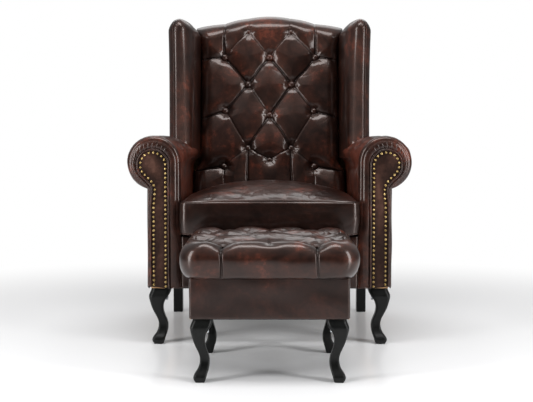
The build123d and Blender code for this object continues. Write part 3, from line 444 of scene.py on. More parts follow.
def tuftDrop(flat, buttons, pleats, tuft, seed):
    # how far the hide lies below the full pillow, in two parts: a rounded fall towards each
    # pleat and button, and narrow valleys for the pleat's own crease and the gathers that fan
    # out from each button; returns both and the fold share
    nearest = np.min([np.linalg.norm(flat - np.array(button), axis=-1) for button in buttons], axis=0)
    free = tuft["wander"] * smooth(nearest, *hide["freeBetween"])
    level = np.concatenate([flat, np.zeros(flat.shape[:-1] + (1,))], axis=-1)
    drift = np.stack([waves(level, hide["driftLength"], seed + shift) for shift in (5, 6)], -1)
    placed, flat = flat, flat + free[..., None] * drift
    fall = np.zeros(flat.shape[:-1])
    crease = np.zeros(flat.shape[:-1])
    for start, end, strength in pleats:
        distance = segmentDistance(flat, start, end)
        near = 1 - unit(distance / tuft["pillow"])
        fall = np.maximum(fall, strength * near ** hide["fallPower"])
        crease = np.maximum(crease, strength * bell(distance, tuft["creaseWidth"]))
    soft = tuft["pleatDepth"] * fall
    sharp = tuft["creaseDepth"] * crease
    # painted shade: the fold share is highest in the creases, the deep valleys, the button funnels and
    # the gathers
    fold = hide["creaseFold"] * crease + hide["valleyFold"] * smooth(fall, *hide["valleyBetween"])
    random = np.random.default_rng(seed)
    stray = hide["gatherStray"]
    for button in buttons:
        offset = placed - np.array(button)
        near = 1 - unit(np.linalg.norm(offset, axis=-1) / tuft["funnel"])
        bowl = hide["bowl"] * near ** 2 + (1 - hide["bowl"]) * (1 - np.sqrt(1 - near ** 2))
        soft += tuft["buttonDepth"] * bowl
        fold = np.maximum(fold, near ** 3)
        count = random.integers(*hide["gathers"])
        ways = (np.arange(count) + random.uniform(-stray, stray, count)) * 2 * math.pi / count
        for way in ways:
            length = tuft["fan"] * random.uniform(*hide["gatherLength"])
            deep = tuft["gather"] * random.uniform(*hide["gatherHeight"])
            along = offset[..., 0] * math.cos(way) + offset[..., 1] * math.sin(way)
            aside = offset[..., 1] * math.cos(way) - offset[..., 0] * math.sin(way)
            band = smooth(along, *hide["gatherStart"]) * (
                1 - smooth(along, hide["gatherEnd"] * length, length))
            width = hide["gatherWidth"] + hide["gatherWiden"] * np.clip(along, 0, hide["widenReach"])
            valley = bell(aside, width) * band
            sharp += deep * valley
            fold = np.maximum(fold, hide["gatherFold"] * valley * deep / tuft["gather"])
    return soft, sharp, unit(fold)


def domes(name, places, way, shape):
    # the same low dome at every place: rings of points round the way that it faces
    way = np.array(way) / np.linalg.norm(way)
    side = np.array([1.0, 0.0, 0.0])
    turn = np.linspace(0, 2 * math.pi, shape["sides"], endpoint=False)
    frill = 1 + shape["frill"] * np.sin(turn * shape["frills"])
    reach = shape["radius"] * np.array(shape["reach"])[:, None, None] * frill[None, :, None]
    height = shape["rise"] * np.array(shape["height"])[:, None, None]
    ring = way * height + reach * (side * np.cos(turn)[None, :, None]
                                   + np.cross(way, side) * np.sin(turn)[None, :, None])
    points = np.asarray(places)[:, None, None] + ring
    firsts = np.arange(len(points)) * ring[..., 0].size
    quads = tubeQuads(*ring.shape[:2])[None] + firsts[:, None, None]
    return makePiece(name, points, quads.reshape(-1, 4))


# The tufted inside back: a slab on the raked face that rolls over the crest
back = dict(
    halfWidth=0.2400, seatHalfWidth=0.2612, wideTopZ=0.541, wideLowZ=0.500,
    lowZ=0.310, cornerZ=1.003, crestZ=1.043, depth=0.0775, crestDepth=0.1135,
    sideRound=0.044, sideDepth=0.8, crestSide=0.25, topRound=0.064, footRound=0.03,
    columns=300, rows=420, rearRows=12, crowding=0.82, rearScale=0.999, rearGap=0.0005,
    swell=0.008, swellZ=0.63, swellReach=0.09, earWidth=0.018, earLowZ=0.930,
    notchShare=0.62, notchDrop=0.0245, archPower=1.8, thinBelow=(0.05, 0.12),
    calmTop=0.72, calmStart=0.025, calmDeck=0.8, calmSide=0.75, calmSideFrom=0.93,
    ripple=(0.0007, 0.120), wrinkle=(0.0003, 0.09), wrinkleDrop=0.006,
    rowHeights=(0.985, 0.897, 0.802, 0.709, 0.581, 0.518),
    rowPlaces=((-0.074, 0.074), (-0.158, 0, 0.160), (-0.075, 0.077),
               (-0.154, 0, 0.154), (-0.075, 0.075), (-0.158, 0, 0.154)),
    middleShifts=(0, 0, 0, -0.014, 0, 0.022), linkReach=0.12,
    linkStrengths=((0.2, 0.4, 0.3, 0.5), (1.0, 0.9, 1.0, 0.9), (0.9, 0.4, 0.95, 0.65),
                   (0.3, 0.9, 0.9, 0.3), (0.35, 0.5, 0.4, 0.35)),
    pastTop=0.2, pastFootZ=0.3, pastSide=0.3, buttonSeat=0.0170,
    button=dict(buttonShape, radius=0.0135, rise=0.0095),
    tuft=dict(pillow=0.058, pleatDepth=0.0115, creaseWidth=0.0027, creaseDepth=0.0048,
              funnel=0.036, buttonDepth=0.012, gather=0.0015, fan=0.050, wander=0.0022))
# where the rear post stands below its bend
postY = rearY - (back["crestZ"] - chair["bendZ"]) * rakeSlope


def upSlope(height):
    return (height - chair["bendZ"]) / rakeCos


def onBack(across, rise, depth):
    # a point of the raked frame: across, up the slope from the bend, and behind the face
    return np.stack([across + 0 * rise,
                     chair["faceY"] + rise * rakeSin + depth * rakeCos,
                     chair["bendZ"] + rise * rakeCos - depth * rakeSin], -1)


backButtons = [[(x, upSlope(z + (shift if x == 0 else 0))) for x in places]
               for z, places, shift in zip(back["rowHeights"], back["rowPlaces"],
                                           back["middleShifts"])]


def backPleatLines():
    # each button is tied to its nearest ones in the next row, from left to right, and the
    # outer ones to the edges of the back; every line has its own strength
    pleats = []
    for upper, lower, strengths in zip(backButtons, backButtons[1:], back["linkStrengths"]):
        links = sorted(((start, end) for start in upper for end in lower
                        if abs(start[0] - end[0]) < back["linkReach"]),
                       key=lambda link: link[0][0] + link[1][0])
        pleats += [(start, end, strength) for (start, end), strength in zip(links, strengths)]
    rowA, rowB, _, rowD, rowE, rowF = backButtons
    over = [(place, 0.35) for place in rowA] + [(rowB[0], 0.9), (rowB[2], 0.9)]
    under = [(place, 0.8) for place in rowE] + [(rowF[0], 0.3), (rowF[2], 0.3)]
    for places, far in ((over, upSlope(back["crestZ"]) + back["pastTop"]),
                        (under, upSlope(back["pastFootZ"]))):
        pleats += [(place, (place[0], far), strength) for place, strength in places]
    for row, sink, strength in ((rowB, 0.012, 0.8), (rowD, 0.045, 0.9), (rowF, 0.02, 1.0)):
        pleats += [(place, (math.copysign(back["pastSide"], place[0]), place[1] - sink), strength)
                   for place in (row[0], row[2])]
    return pleats


def crestLine(across):
    # the crest falls as an arch to a notch each side, then straight to the corner
    reach = unit(np.abs(across))
    share, notchZ = back["notchShare"], back["crestZ"] - back["notchDrop"]
    arch = back["crestZ"] - back["notchDrop"] * (reach / share) ** back["archPower"]
    slope = notchZ + (back["cornerZ"] - notchZ) * (reach - share) / (1 - share)
    return np.where(reach < share, arch, slope)


def backSurface():
    # for each column a loop: up the face, over the crest, down the rear; the face falls back
    # in a quarter round towards the sides, and every point then drops along its own normal
    count = back["rows"]
    share = np.linspace(-1, 1, back["columns"])
    # columns lie closer together at the sides, where the face turns back
    across = (np.sin(share * math.pi / 2 * back["crowding"])
              / math.sin(math.pi / 2 * back["crowding"]))[:, None]
    low, roundTop = upSlope(back["lowZ"]), back["topRound"]
    # leaning back, the round would end lower than the crest by this much
    lost = roundTop * (rakeCos + rakeSin - 1) / rakeCos
    top = upSlope(crestLine(across)) + lost
    straight = top - roundTop - low
    bend = roundTop * math.pi / 2
    deck = back["crestDepth"] - roundTop
    length = straight + bend + deck
    path = np.linspace(0, 1, count)[None, :] * length
    onFace = np.clip(path, 0, straight)
    turning = np.clip(path - straight, 0, bend) / roundTop
    rearward = np.clip(path - straight - bend, 0, deck)
    # the top stays level to the rear, so it climbs the slope as it goes back
    rise = low + onFace + roundTop * np.sin(turning) + rearward * rakeSlope
    depth = roundTop * (1 - np.cos(turning)) + rearward
    depth = depth + back["footRound"] * (1 - softEdge(path / back["footRound"]))
    height = chair["bendZ"] + rise * rakeCos
    widen = smooth(height, back["wideTopZ"], back["wideLowZ"])
    halfWidth = mix(back["halfWidth"], back["seatHalfWidth"], widen)
    halfWidth = halfWidth + back["earWidth"] * smooth(height, back["earLowZ"], back["cornerZ"])
    x = across * halfWidth
    edge = (halfWidth - np.abs(x)) / back["sideRound"]
    fade = 1 - unit(turning / (math.pi / 2))
    depth = depth + back["sideDepth"] * back["sideRound"] * (1 - softEdge(edge)) * (
        back["crestSide"] + (1 - back["crestSide"]) * fade)
    swell = bell(height - back["swellZ"], back["swellReach"]) * (1 - across ** 2)
    depth = depth - back["swell"] * swell * fade
    front = onBack(x, rise, depth)
    soft, sharp, fold = tuftDrop(
        stacked(x, low + path), [place for row in backButtons for place in row],
        backPleatLines(), back["tuft"], 11)
    drop = soft + sharp
    normals = outwardNormals(front, (back["columns"] // 2, count // 3), (0, -1, 0))
    # the drop eases off over the crest and towards the sides
    calm = 1 - back["calmTop"] * smooth(path, straight - back["calmStart"], straight + 0.5 * bend)
    calm = calm * (1 - back["calmDeck"] * smooth(path, straight + 0.6 * bend, length))
    calm = calm * (1 - back["calmSide"] * smooth(np.abs(across), back["calmSideFrom"], 1.0))
    ripples = relief(waves, front, back["ripple"], 21)
    wrinkles = relief(creases, front, back["wrinkle"], 31) * smooth(drop, 0.0, back["wrinkleDrop"])
    front = front - normals * ((drop + wrinkles - ripples) * calm)[..., None]
    # the rear is flat, and thicker at the crest
    thin = smooth(height, *[back["crestZ"] - below for below in back["thinBelow"]])
    rearDepth = mix(back["crestDepth"], back["depth"], thin)
    rear = onBack(x, mix(low, rise, back["rearScale"]),
                  np.maximum(rearDepth, depth + back["rearGap"]))
    rear = rear[:, np.linspace(0, count - 1, back["rearRows"]).astype(int)]
    loop = np.concatenate([front, rear[:, ::-1]], axis=1)
    return loop, np.concatenate([fold * calm, np.zeros(rear.shape[:2])], axis=1)


loop, folds = backSurface()
quads, triangles = slabFaces(back["columns"], back["rows"], back["rearRows"])
insideBack = makePiece("inside_back", loop, quads, folds, triangles)
dress(insideBack, "root", "oxblood_leather", "back_cover", "back_foam", "crest_pad", fill=0.8)

backPlaces = [onBack(np.array(x), np.array(v), np.array(back["buttonSeat"]))
              for row in backButtons for x, v in row]
dress(domes("back_button_set", backPlaces, (0, -rakeCos, rakeSin), back["button"]),
      "root", "oxblood_leather", "back_buttons")
print("inside back made")

# Arms: one closed tube each, whose girth runs up the inside, over the scroll and down the
# outside; at the front it turns over a soft edge and runs in to the facing
arm = dict(
    rollRadius=0.079, rearRadius=0.051, centreZ=0.541, taperStart=0.25, taperEnd=0.60,
    edgeRound=0.014, edgeShare=0.45, bandBack=0.004, rearGap=0.0025, footRound=0.0015,
    footBetween=(0.32, 0.36), wallPoints=50, rollPoints=320, lengthRows=90, edgeRows=8,
    bandRows=16, bulge=0.004, lastBack=0.0055, pleats=20, pleatRate=1.28, pleatStray=0.12,
    pleatWidth=0.07, pleatDepth=0.0010, pillow=0.0003, rollFrom=(0.2, 0.26), rollTo=(0.80, 0.84),
    swell=0.032, swellAlong=(0.06, 0.36), swellUp=(0.520, 0.580), insidePale=0.48, insidePaleUp=(0.36, 0.46),
    lump=(0.0014, 0.13), ripple=(0.0007, 0.05), crease=(0.0007, 0.09), pull=0.0006, pullBack=0.05,
    bandLumps=0.10, stillRows=6, seatClear=0.0026, seatTop=(0.510, 0.550), panelClear=0.0034,
    panelTop=(0.452, 0.474), wallReach=0.012, coverEdge=0.002, foldShare=0.35, foldBack=0.04)
facing = dict(innerX=0.298, outerX=0.351, headX=0.344, headZ=0.534, headRadius=0.046,
              headTurn=52, neckX=0.347, neckZ=0.462, waistZ=0.400, arcShare=0.86, columns=31,
              front=0.0012, crown=0.0012, ripple=(0.0005, 0.05), thickness=0.006,
              weltStep=0.006, weltRadius=0.0032, weltAhead=0.0005)


def armGirth(radius):
    # the cross-section at one place: up the inner wall, round the scroll, down the outer wall
    wall = np.linspace(0, 1, arm["wallPoints"], endpoint=False)
    centreX = chair["innerX"] + radius
    last = math.acos(np.clip((chair["sideX"] - centreX) / radius, -1, 1))
    turn = np.linspace(math.pi, -last, arm["rollPoints"])
    rollX = centreX + radius * np.cos(turn)
    rollZ = arm["centreZ"] + radius * np.sin(turn)
    x = np.concatenate([np.full(len(wall), chair["innerX"]), rollX,
                        np.full(len(wall), chair["sideX"])])
    z = np.concatenate([mix(baseZ, arm["centreZ"], wall), rollZ,
                        baseZ + (rollZ[-1] - baseZ) * (1 - wall) * (1 - 1 / len(wall))])
    return x, z


def facingGirth(inset=0.0):
    # the facing's outline with as many points as the girth, from its inner to its outer foot
    wall = np.linspace(0, 1, arm["wallPoints"], endpoint=False)
    count = arm["rollPoints"]
    arcCount = int(count * facing["arcShare"])
    turn = np.linspace(math.pi, -math.radians(facing["headTurn"]), arcCount)
    arcX = facing["headX"] + (facing["headRadius"] - inset) * np.cos(turn)
    arcZ = facing["headZ"] + (facing["headRadius"] - inset) * np.sin(turn)
    share = np.linspace(0, 1, count - arcCount + 1)[1:]
    neckX = mix(arcX[-1], facing["neckX"] - inset, np.sin(share * math.pi / 2))
    neckZ = mix(arcZ[-1], facing["neckZ"], share)
    lowZ = mix(baseZ, facing["neckZ"], (1 - wall) * (1 - 1 / len(wall)))
    lowX = mix(facing["outerX"], facing["neckX"], smooth(lowZ, facing["waistZ"], facing["neckZ"])) - inset
    x = np.concatenate([np.full(len(wall), facing["innerX"] + inset), arcX, neckX, lowX])
    z = np.concatenate([mix(baseZ, facing["headZ"], wall), arcZ, neckZ, lowZ])
    return x, z


def armSurface(seed):
    # rows from the rear to the front edge, over the edge, and in to the facing
    count = 2 * arm["wallPoints"] + arm["rollPoints"]
    bandBack = arm["bandBack"]
    start = arm["edgeRound"] + bandBack
    lowEnd = postY - arm["rearGap"] - frontY
    rows, folds = [], []
    girthShare = np.linspace(0, 1, count)
    onRoll = smooth(girthShare, *arm["rollFrom"]) * (1 - smooth(girthShare, *arm["rollTo"]))
    for far in np.linspace(lowEnd, start, arm["lengthRows"]):
        taper = smooth(far, arm["taperStart"], arm["taperEnd"])
        radius = mix(arm["rollRadius"], arm["rearRadius"], taper)
        x, z = armGirth(radius)
        # the padding swells towards the seat, more and more to the rear, and only above the
        # sides of the cushion when that is lifted
        onInside = unit((chair["innerX"] + radius - x) / radius) ** 0.8
        swell = arm["swell"] * smooth(far, *arm["swellAlong"]) * smooth(z, *arm["swellUp"]) * onInside
        # the rear end leans back with the post above its bend
        lean = np.maximum(z - chair["bendZ"], 0) * rakeSlope * (far - start) / (lowEnd - start)
        rows.append(stacked(x - swell, frontY + far + lean, z))
        # the inside is drawn paler and redder on its upper part, so its fold share is below zero
        folds.append(-arm["insidePale"] * onInside * smooth(z, *arm["insidePaleUp"]))
    outerX, outerZ = armGirth(arm["rollRadius"])
    innerX, innerZ = facingGirth()
    # towards the facing, along the line that joins matched points
    inward = stacked(innerX - outerX, innerZ - outerZ)
    width = np.linalg.norm(inward, axis=1, keepdims=True)
    inward /= np.maximum(width, 1e-9)
    soft = np.minimum(arm["edgeRound"], arm["edgeShare"] * width[:, 0])
    soft = mix(arm["footRound"], soft, smooth(outerZ, *arm["footBetween"]))
    for step in range(1, arm["edgeRows"] + 1):
        turn = step / arm["edgeRows"] * math.pi / 2
        draw = soft * (1 - math.cos(turn))
        far = bandBack + soft * (1 - math.sin(turn))
        rows.append(stacked(outerX + inward[:, 0] * draw, np.full(count, frontY + far),
                            outerZ + inward[:, 1] * draw))
        folds.append(np.zeros(count))
    # the band is gathered in pleats at uneven steps round the scroll
    random = np.random.default_rng(seed)
    stray = np.interp(girthShare, np.linspace(0, 1, 30), random.normal(size=30))
    phase = girthShare * arm["pleats"] * arm["pleatRate"] + arm["pleatStray"] * stray
    nearPleat = np.abs(phase - np.round(phase))
    pleat = bell(nearPleat, arm["pleatWidth"]) * onRoll
    puff = (1 - (1 - 2 * nearPleat) ** 2) * onRoll
    for step in range(1, arm["bandRows"] + 1):
        share = step / arm["bandRows"]
        draw = mix(soft, width[:, 0], share)
        far = bandBack - arm["bulge"] * math.sin(share * math.pi) ** 0.8
        depth = (arm["pleatDepth"] * pleat * smooth(share, 0.0, 0.45)
                 - arm["pillow"] * puff * math.sin(share * math.pi))
        rows.append(stacked(outerX + inward[:, 0] * draw, frontY + far + depth,
                            outerZ + inward[:, 1] * draw))
        # painted shade: the fold share darkens the pleats, more towards the facing
        folds.append(pleat * share)
    points = np.array(rows)
    points[-1, :, 1] = frontY + arm["lastBack"]
    onTop = (20, count // 2)
    axis = np.array([chair["innerX"] + arm["rollRadius"], points[onTop][1], arm["centreZ"]])
    normals = outwardNormals(points, onTop, points[onTop] - axis)
    body = np.zeros(points.shape[:2])
    body[:arm["lengthRows"]] = 1
    footFade = smooth(girthShare, 0.02, 0.08) * (1 - smooth(girthShare, 0.92, 0.98))
    # soft hollows along the scroll, and pulls that run back from the front pleats
    lumps = relief(waves, points, arm["lump"], seed) + relief(waves, points, arm["ripple"], seed + 1)
    lumps -= relief(creases, points * np.array([1, 0.5, 1]), arm["crease"], seed + 2) * body
    fromEdge = points[:, :, 1] - frontY
    pull = -arm["pull"] * pleat[None] * (1 - smooth(fromEdge, 0.0, arm["pullBack"])) * body
    calm = np.ones(points.shape[0])
    calm[-arm["stillRows"]:] = 0
    bandShare = arm["bandLumps"] + (1 - arm["bandLumps"]) * body
    shift = lumps * footFade * calm[:, None] * bandShare + pull
    # the wall beside the seat lies a little back, clear of the cushion on its way up
    inner, outer, reach = chair["innerX"], chair["sideX"], arm["wallReach"]
    beside = (1 - smooth(points[..., 0], inner, inner + reach)) * body
    shift = shift - arm["seatClear"] * beside * (1 - smooth(points[..., 2], *arm["seatTop"]))
    # and the outer wall keeps below the stretched panel that covers it
    covered = smooth(points[..., 0], outer - reach, outer - arm["coverEdge"]) * body
    shift = shift - arm["panelClear"] * covered * (1 - smooth(points[..., 2], *arm["panelTop"]))
    points = points + normals * shift[..., None]
    # painted shade along the pulls that run back from the front pleats
    folds = np.array(folds) + arm["foldShare"] * pleat[None] * (
        1 - smooth(fromEdge, 0.0, arm["foldBack"])) * body
    return points, folds


def armPieces(side, seed):
    points, folds = armSurface(seed)
    piece = makePiece(f"arm_{side}", onSide(side, points), tubeQuads(*points.shape[:2]), folds)
    dress(piece, "root", "oxblood_leather", f"arm_cover_{side}", f"arm_padding_{side}", fill=0.9)
    x, z = facingGirth()
    count = len(x)
    half = count // 2
    # facing: lines laid across from each inner point to its outer partner, slightly crowned
    across = np.linspace(0, 1, facing["columns"])
    left = stacked(x[:half], z[:half])[:, None]
    right = stacked(x[::-1][:half], z[::-1][:half])[:, None]
    plane = mix(left, right, across[None, :, None])
    crown = 1 - (2 * across[None] - 1) ** 4 + 0 * plane[..., 0]
    spots = stacked(plane[..., 0], 0 * crown, plane[..., 1] * 0.5)
    wave = relief(waves, spots, facing["ripple"], seed + 5)
    y = frontY + facing["front"] - facing["crown"] * crown + wave * crown
    front = stacked(plane[..., 0], y, plane[..., 1])
    rear = front.copy()
    rear[..., 1] = frontY + facing["thickness"]
    # painted sheen and shade: the fold share is least along the middle and most at the edges, so the
    # facing is paler in the middle and darker by the nails
    rim = (2 * across[None] - 1) ** 2 + 0 * crown
    panel = sheet(f"facing_panel_{side}", onSide(side, front), onSide(side, rear), rim)
    dress(panel, "root", "facing_leather", f"facing_{side}")
    # welt round the facing
    line = stacked(x, np.full(count, frontY - facing["weltAhead"]), z)
    line = onSide(side, resample(line, facing["weltStep"]))
    dress(tube(f"facing_welt_{side}", line, facing["weltRadius"]), "root", "oxblood_leather")


for side, seed in (("right", 40), ("left", 60)):
    armPieces(side, seed)
print("arms made")

# Dome nails along the facing's edge
nail = dict(inset=0.009, pitch=0.0134, margin=0.006, seat=0.0004, radius=0.0038, rise=0.0030,
            sides=14, reach=(0.98, 1.0, 0.9, 0.72, 0.48, 0.22),
            height=(-0.15, 0.12, 0.48, 0.76, 0.93, 1.0), frill=0, frills=0)


def nailPlaces():
    # equal steps along the inset outline, on the right facing and then on the left
    x, z = facingGirth(nail["inset"])
    line = stacked(x, np.full(len(x), frontY + nail["seat"]), z)
    lengths = np.concatenate([[0], np.cumsum(np.linalg.norm(np.diff(line, axis=0), axis=1))])
    count = int(lengths[-1] / nail["pitch"])
    steps = np.linspace(nail["margin"], lengths[-1] - nail["margin"], count + 1)
    places = np.stack([np.interp(steps, lengths, line[:, axis]) for axis in range(3)], -1)
    return np.concatenate([places, mirrored(places)])


dress(domes("nail_domes", nailPlaces(), (0, -1, 0), nail), "root", "antique_brass", "facing_nails")
print("nails made")

# Outside arm: a panel of hide stretched over the frame and tacked under the scroll
outsideArm = dict(topZ=0.470, lowZ=0.1685, frontGap=0.010, thickness=0.0042, columns=110, rows=70,
                  softAlong=0.02, softUp=0.03, seat=0.002, rear=0.0035,
                  ripple=(0.0010, 0.16), shade=0.6, base=0.2)


def outsideArmPanel(side, seed):
    # a flat rectangle of hide with a slow ripple, rounded down to the frame at its edges
    along = np.linspace(0, 1, outsideArm["columns"])
    upward = np.linspace(0, 1, outsideArm["rows"])
    lowY = frontY + outsideArm["frontGap"]
    highY = postY - arm["rearGap"]
    y = mix(lowY, highY, along[None, :]) + 0 * upward[:, None]
    z = mix(outsideArm["lowZ"], outsideArm["topZ"], upward[:, None]) + 0 * y
    soft = softEdge(np.minimum(np.minimum(along, 1 - along)[None] / outsideArm["softAlong"],
                               np.minimum(upward, 1 - upward)[:, None] / outsideArm["softUp"]))
    spots = stacked(0 * y, y, z) * np.array([1, 0.6, 1])
    pull = relief(waves, spots, outsideArm["ripple"], seed) * soft
    x = chair["sideX"] - outsideArm["seat"] + (outsideArm["thickness"] + pull) * soft
    front = stacked(x, y, z)
    rear = stacked(np.full_like(y, chair["sideX"] - outsideArm["rear"]), y, z)
    # painted shade: the fold share rises where the panel rounds down at its edges, above an even darker
    # tone all over
    piece = sheet(f"outside_arm_panel_{side}", onSide(side, front), onSide(side, rear),
                  (1 - soft) * outsideArm["shade"] + outsideArm["base"], outsideArm["base"])
    dress(piece, "root", "oxblood_leather", f"outside_arm_{side}")


for side, seed in (("right", 80), ("left", 90)):
    outsideArmPanel(side, seed)
print("outside arms made")

# Wings: level slices with a fat front roll, drawn in over the top
wing = dict(
    lowZ=0.545, armZ=0.600, topZ=1.0065, armFront=0.268, topFront=0.385, leanPower=1.35,
    armOuterX=0.321, topOuterX=0.335, rollRadius=0.033, innerX=0.2405, rearX=0.3285,
    rearDepth=0.113, capRound=0.030, hollow=0.004, rows=150, capRows=18, outerPoints=60,
    rollPoints=44, breastPoints=50, innerPoints=44, rearPoints=16, breastDepth=0.080,
    breastLowDepth=0.034, breastGap=0.007, breastDraw=0.6, jointDepth=0.030, shoulderDrop=0.015,
    shoulderReach=0.040, innerDrop=0.020, innerReach=0.06, dropFromZ=0.90,
    lump=(0.0008, 0.20), grooveDepth=0.0006, grooveWidth=0.0045, cornerDrop=0.026, cornerHeight=0.020,
    cornerReach=0.030, foldPitch=0.0085, foldDepth=0.0022, weltTurn=62, weltOut=0.0010,
    weltWidth=0.004, weltShade=0.7, weltRadius=0.0014, weltStep=0.006)


def wingSurface(seed):
    # each slice: along the outside from the rear to the roll, a quarter round to the front, a
    # wider quarter ellipse to the inside, and straight back to the tufted pad; the last
    # slices draw in over a quarter round
    cap = wing["capRound"]
    levels = np.linspace(wing["lowZ"], wing["topZ"] - cap, wing["rows"])
    turns = np.linspace(0, math.pi / 2, wing["capRows"] + 1)[1:]
    z = np.concatenate([levels, wing["topZ"] - cap * (1 - np.sin(turns))])
    draw = np.concatenate([np.zeros(wing["rows"]), cap * (1 - np.cos(turns))])[:, None]
    rise = unit((z - wing["armZ"]) / (wing["topZ"] - wing["armZ"]))
    lean = 1 - (1 - rise) ** wing["leanPower"]
    front = (frontY + wing["armFront"] + (wing["topFront"] - wing["armFront"]) * lean)[:, None]
    outerX = mix(wing["armOuterX"], wing["topOuterX"], rise)[:, None]
    radius = wing["rollRadius"] - draw
    centreX = outerX - wing["rollRadius"]
    centreY = front + wing["rollRadius"]
    faceY = chair["faceY"] + (z[:, None] - chair["bendZ"]) * rakeSlope
    rear = faceY + wing["rearDepth"] / rakeCos
    share = np.linspace(0, 1, wing["outerPoints"], endpoint=False)[None]
    # the outside is drawn slightly hollow behind the roll
    outsideX = (wing["rearX"] - draw * 0.5) * (1 - share) + (outerX - draw) * share
    outsideX = outsideX - wing["hollow"] * np.sin(math.pi * share) ** 2 * smooth(share, 0.3, 1.0)
    outsideY = mix(rear, centreY, share)
    turn = np.linspace(0, -math.pi / 2, wing["rollPoints"], endpoint=False)[None]
    rollX = centreX + radius * np.cos(turn)
    rollY = centreY + radius * np.sin(turn)
    breastX = centreX - wing["innerX"] - wing["breastGap"] - draw
    breastY = (mix(wing["breastLowDepth"], wing["breastDepth"], rise[:, None])
               - wing["breastDraw"] * draw)
    turn = np.linspace(-math.pi / 2, -math.pi, wing["breastPoints"])[None]
    frontX = centreX + breastX * np.cos(turn)
    frontFarY = front + draw + breastY + breastY * np.sin(turn)
    inside = np.linspace(0, 1, wing["innerPoints"] + 1)[None, 1:]
    jointY = faceY + wing["jointDepth"]
    innerX = (centreX - breastX) * (1 - inside) + (wing["innerX"] + draw) * inside
    innerStart = front + draw + breastY
    innerY = mix(innerStart, jointY, inside)
    tail = np.linspace(0, 1, wing["rearPoints"] + 1)[None, 1:]
    tailX = wing["innerX"] + draw + 0 * tail
    tailY = mix(jointY, rear, tail)
    x = np.concatenate([outsideX, rollX, frontX, innerX, tailX], axis=1)
    y = np.concatenate([outsideY, rollY, frontFarY, innerY, tailY], axis=1)
    points = stacked(x, y, z[:, None] + 0 * x)
    count = points.shape[1]
    # the top leans down towards the inside, and rounds off at its outer shoulder
    nearTop = smooth(points[..., 2], wing["dropFromZ"], wing["topZ"])
    shoulder = wing["shoulderReach"]
    inward = unit((outerX - shoulder - x) / wing["innerReach"])
    outward = unit((x - outerX + shoulder) / shoulder)
    fall = wing["innerDrop"] * inward ** 1.2 + wing["shoulderDrop"] * outward ** 2
    points[..., 2] -= fall * nearTop
    normals = outwardNormals(points, (30, wing["outerPoints"] // 2), (1, 0, 0))
    place = np.arange(count)[None]
    weltPlace = wing["outerPoints"] + int(wing["rollPoints"] * wing["weltTurn"] / 90)
    lumps = relief(waves, points * np.array([1, 1, 0.45]), wing["lump"], seed)
    # a groove beside the welt, and short folds that fan over the top outer corner
    reach = np.linalg.norm(points - points[:, weltPlace][:, None], axis=-1)
    height = points[..., 2]
    lumps -= wing["grooveDepth"] * bell(reach, wing["grooveWidth"])
    corner = (bell(height - wing["topZ"] + wing["cornerDrop"], wing["cornerHeight"])
              * bell(reach, wing["cornerReach"]))
    fan = np.abs(np.sin((height + (outerX - x) * 0.8 + (y - front) * 0.4) * math.pi / wing["foldPitch"]))
    lumps -= wing["foldDepth"] * corner * (1 - fan) ** 1.5
    fade = 1 - smooth(place, count - wing["rearPoints"], count - 2) - (1 - smooth(place, 0, 6))
    points = points + normals * (lumps * unit(fade))[..., None]
    weltLine = points[:, weltPlace] + normals[:, weltPlace] * wing["weltOut"]
    # painted shade: the fold share darkens the groove beside the welt and the folds at the top outer
    # corner
    welted = wing["weltShade"] * bell(reach, wing["weltWidth"])
    return points, weltLine, unit(corner * (1 - fan) + welted)


for side, seed in (("right", 100), ("left", 120)):
    points, weltLine, folds = wingSurface(seed)
    piece = makePiece(f"wing_{side}", onSide(side, points), tubeQuads(*points.shape[:2]), folds)
    dress(piece, "root", "oxblood_leather", f"wing_cover_{side}", f"wing_padding_{side}", fill=0.9)
    weltLine = resample(onSide(side, weltLine)[:-8], wing["weltStep"])
    dress(tube(f"wing_welt_{side}", weltLine, wing["weltRadius"]), "root", "oxblood_leather")
print("wings made")

# Outside back: one panel from the crest to the base, bent where the back starts to rake
outsideBack = dict(
    columns=130, rows=170, thickness=0.0030, bend=0.03, lowZ=0.1685, topHalf=0.3280,
    lowHalf=0.3600, widenBetween=(0.464, 0.600), crestGap=0.0025, cornerDrop=0.030,
    cornerFrom=0.80, softAcross=0.03, softUp=0.015, ease=(0.0007, 0.2), ripple=(0.0002, 0.07),
    easeFloor=0.0015, seat=0.0006, rear=0.0016, shade=0.6, base=0.2)


def outsideBackPanel():
    # the outline is the wings' and crest's from behind, wider below the arms; the plane leans
    # back above the bend and turns there in a soft curve
    share = np.linspace(0, 1, outsideBack["rows"])[:, None]
    across = np.linspace(-1, 1, outsideBack["columns"])[None]
    topHalf, lowZ = outsideBack["topHalf"], outsideBack["lowZ"]
    topZ = crestLine(across * topHalf / back["halfWidth"]) - outsideBack["crestGap"]
    topZ = topZ - outsideBack["cornerDrop"] * smooth(np.abs(across), outsideBack["cornerFrom"], 1.0)
    z = mix(lowZ, topZ, share)
    halfWidth = topHalf + (outsideBack["lowHalf"] - topHalf) * (
        1 - smooth(z, *outsideBack["widenBetween"]))
    x = across * halfWidth
    above = z - chair["bendZ"]
    rise = (above + np.sqrt(above ** 2 + outsideBack["bend"] ** 2)) / 2
    y = postY + rise * rakeSlope
    soft = softEdge(np.minimum((1 - np.abs(across)) / outsideBack["softAcross"],
                               np.minimum(share, 1 - share) / outsideBack["softUp"]))
    spots = stacked(x, 0 * x, z)
    ease = (relief(waves, spots * np.array([0.7, 1, 1]), outsideBack["ease"], 141)
            + relief(waves, spots, outsideBack["ripple"], 142))
    out = outsideBack["thickness"] + np.maximum(ease, -outsideBack["easeFloor"])
    front = stacked(x, y - outsideBack["seat"] + out * soft, z)
    rear = stacked(x, y - outsideBack["rear"] + 0 * x, z)
    # painted shade: the fold share rises where the panel rounds down at its edges, above an even darker
    # tone all over
    return sheet("outside_back_panel", front, rear,
                 (1 - soft) * outsideBack["shade"] + outsideBack["base"], outsideBack["base"])


dress(outsideBackPanel(), "root", "oxblood_leather", "outside_back")
print("outside back made")

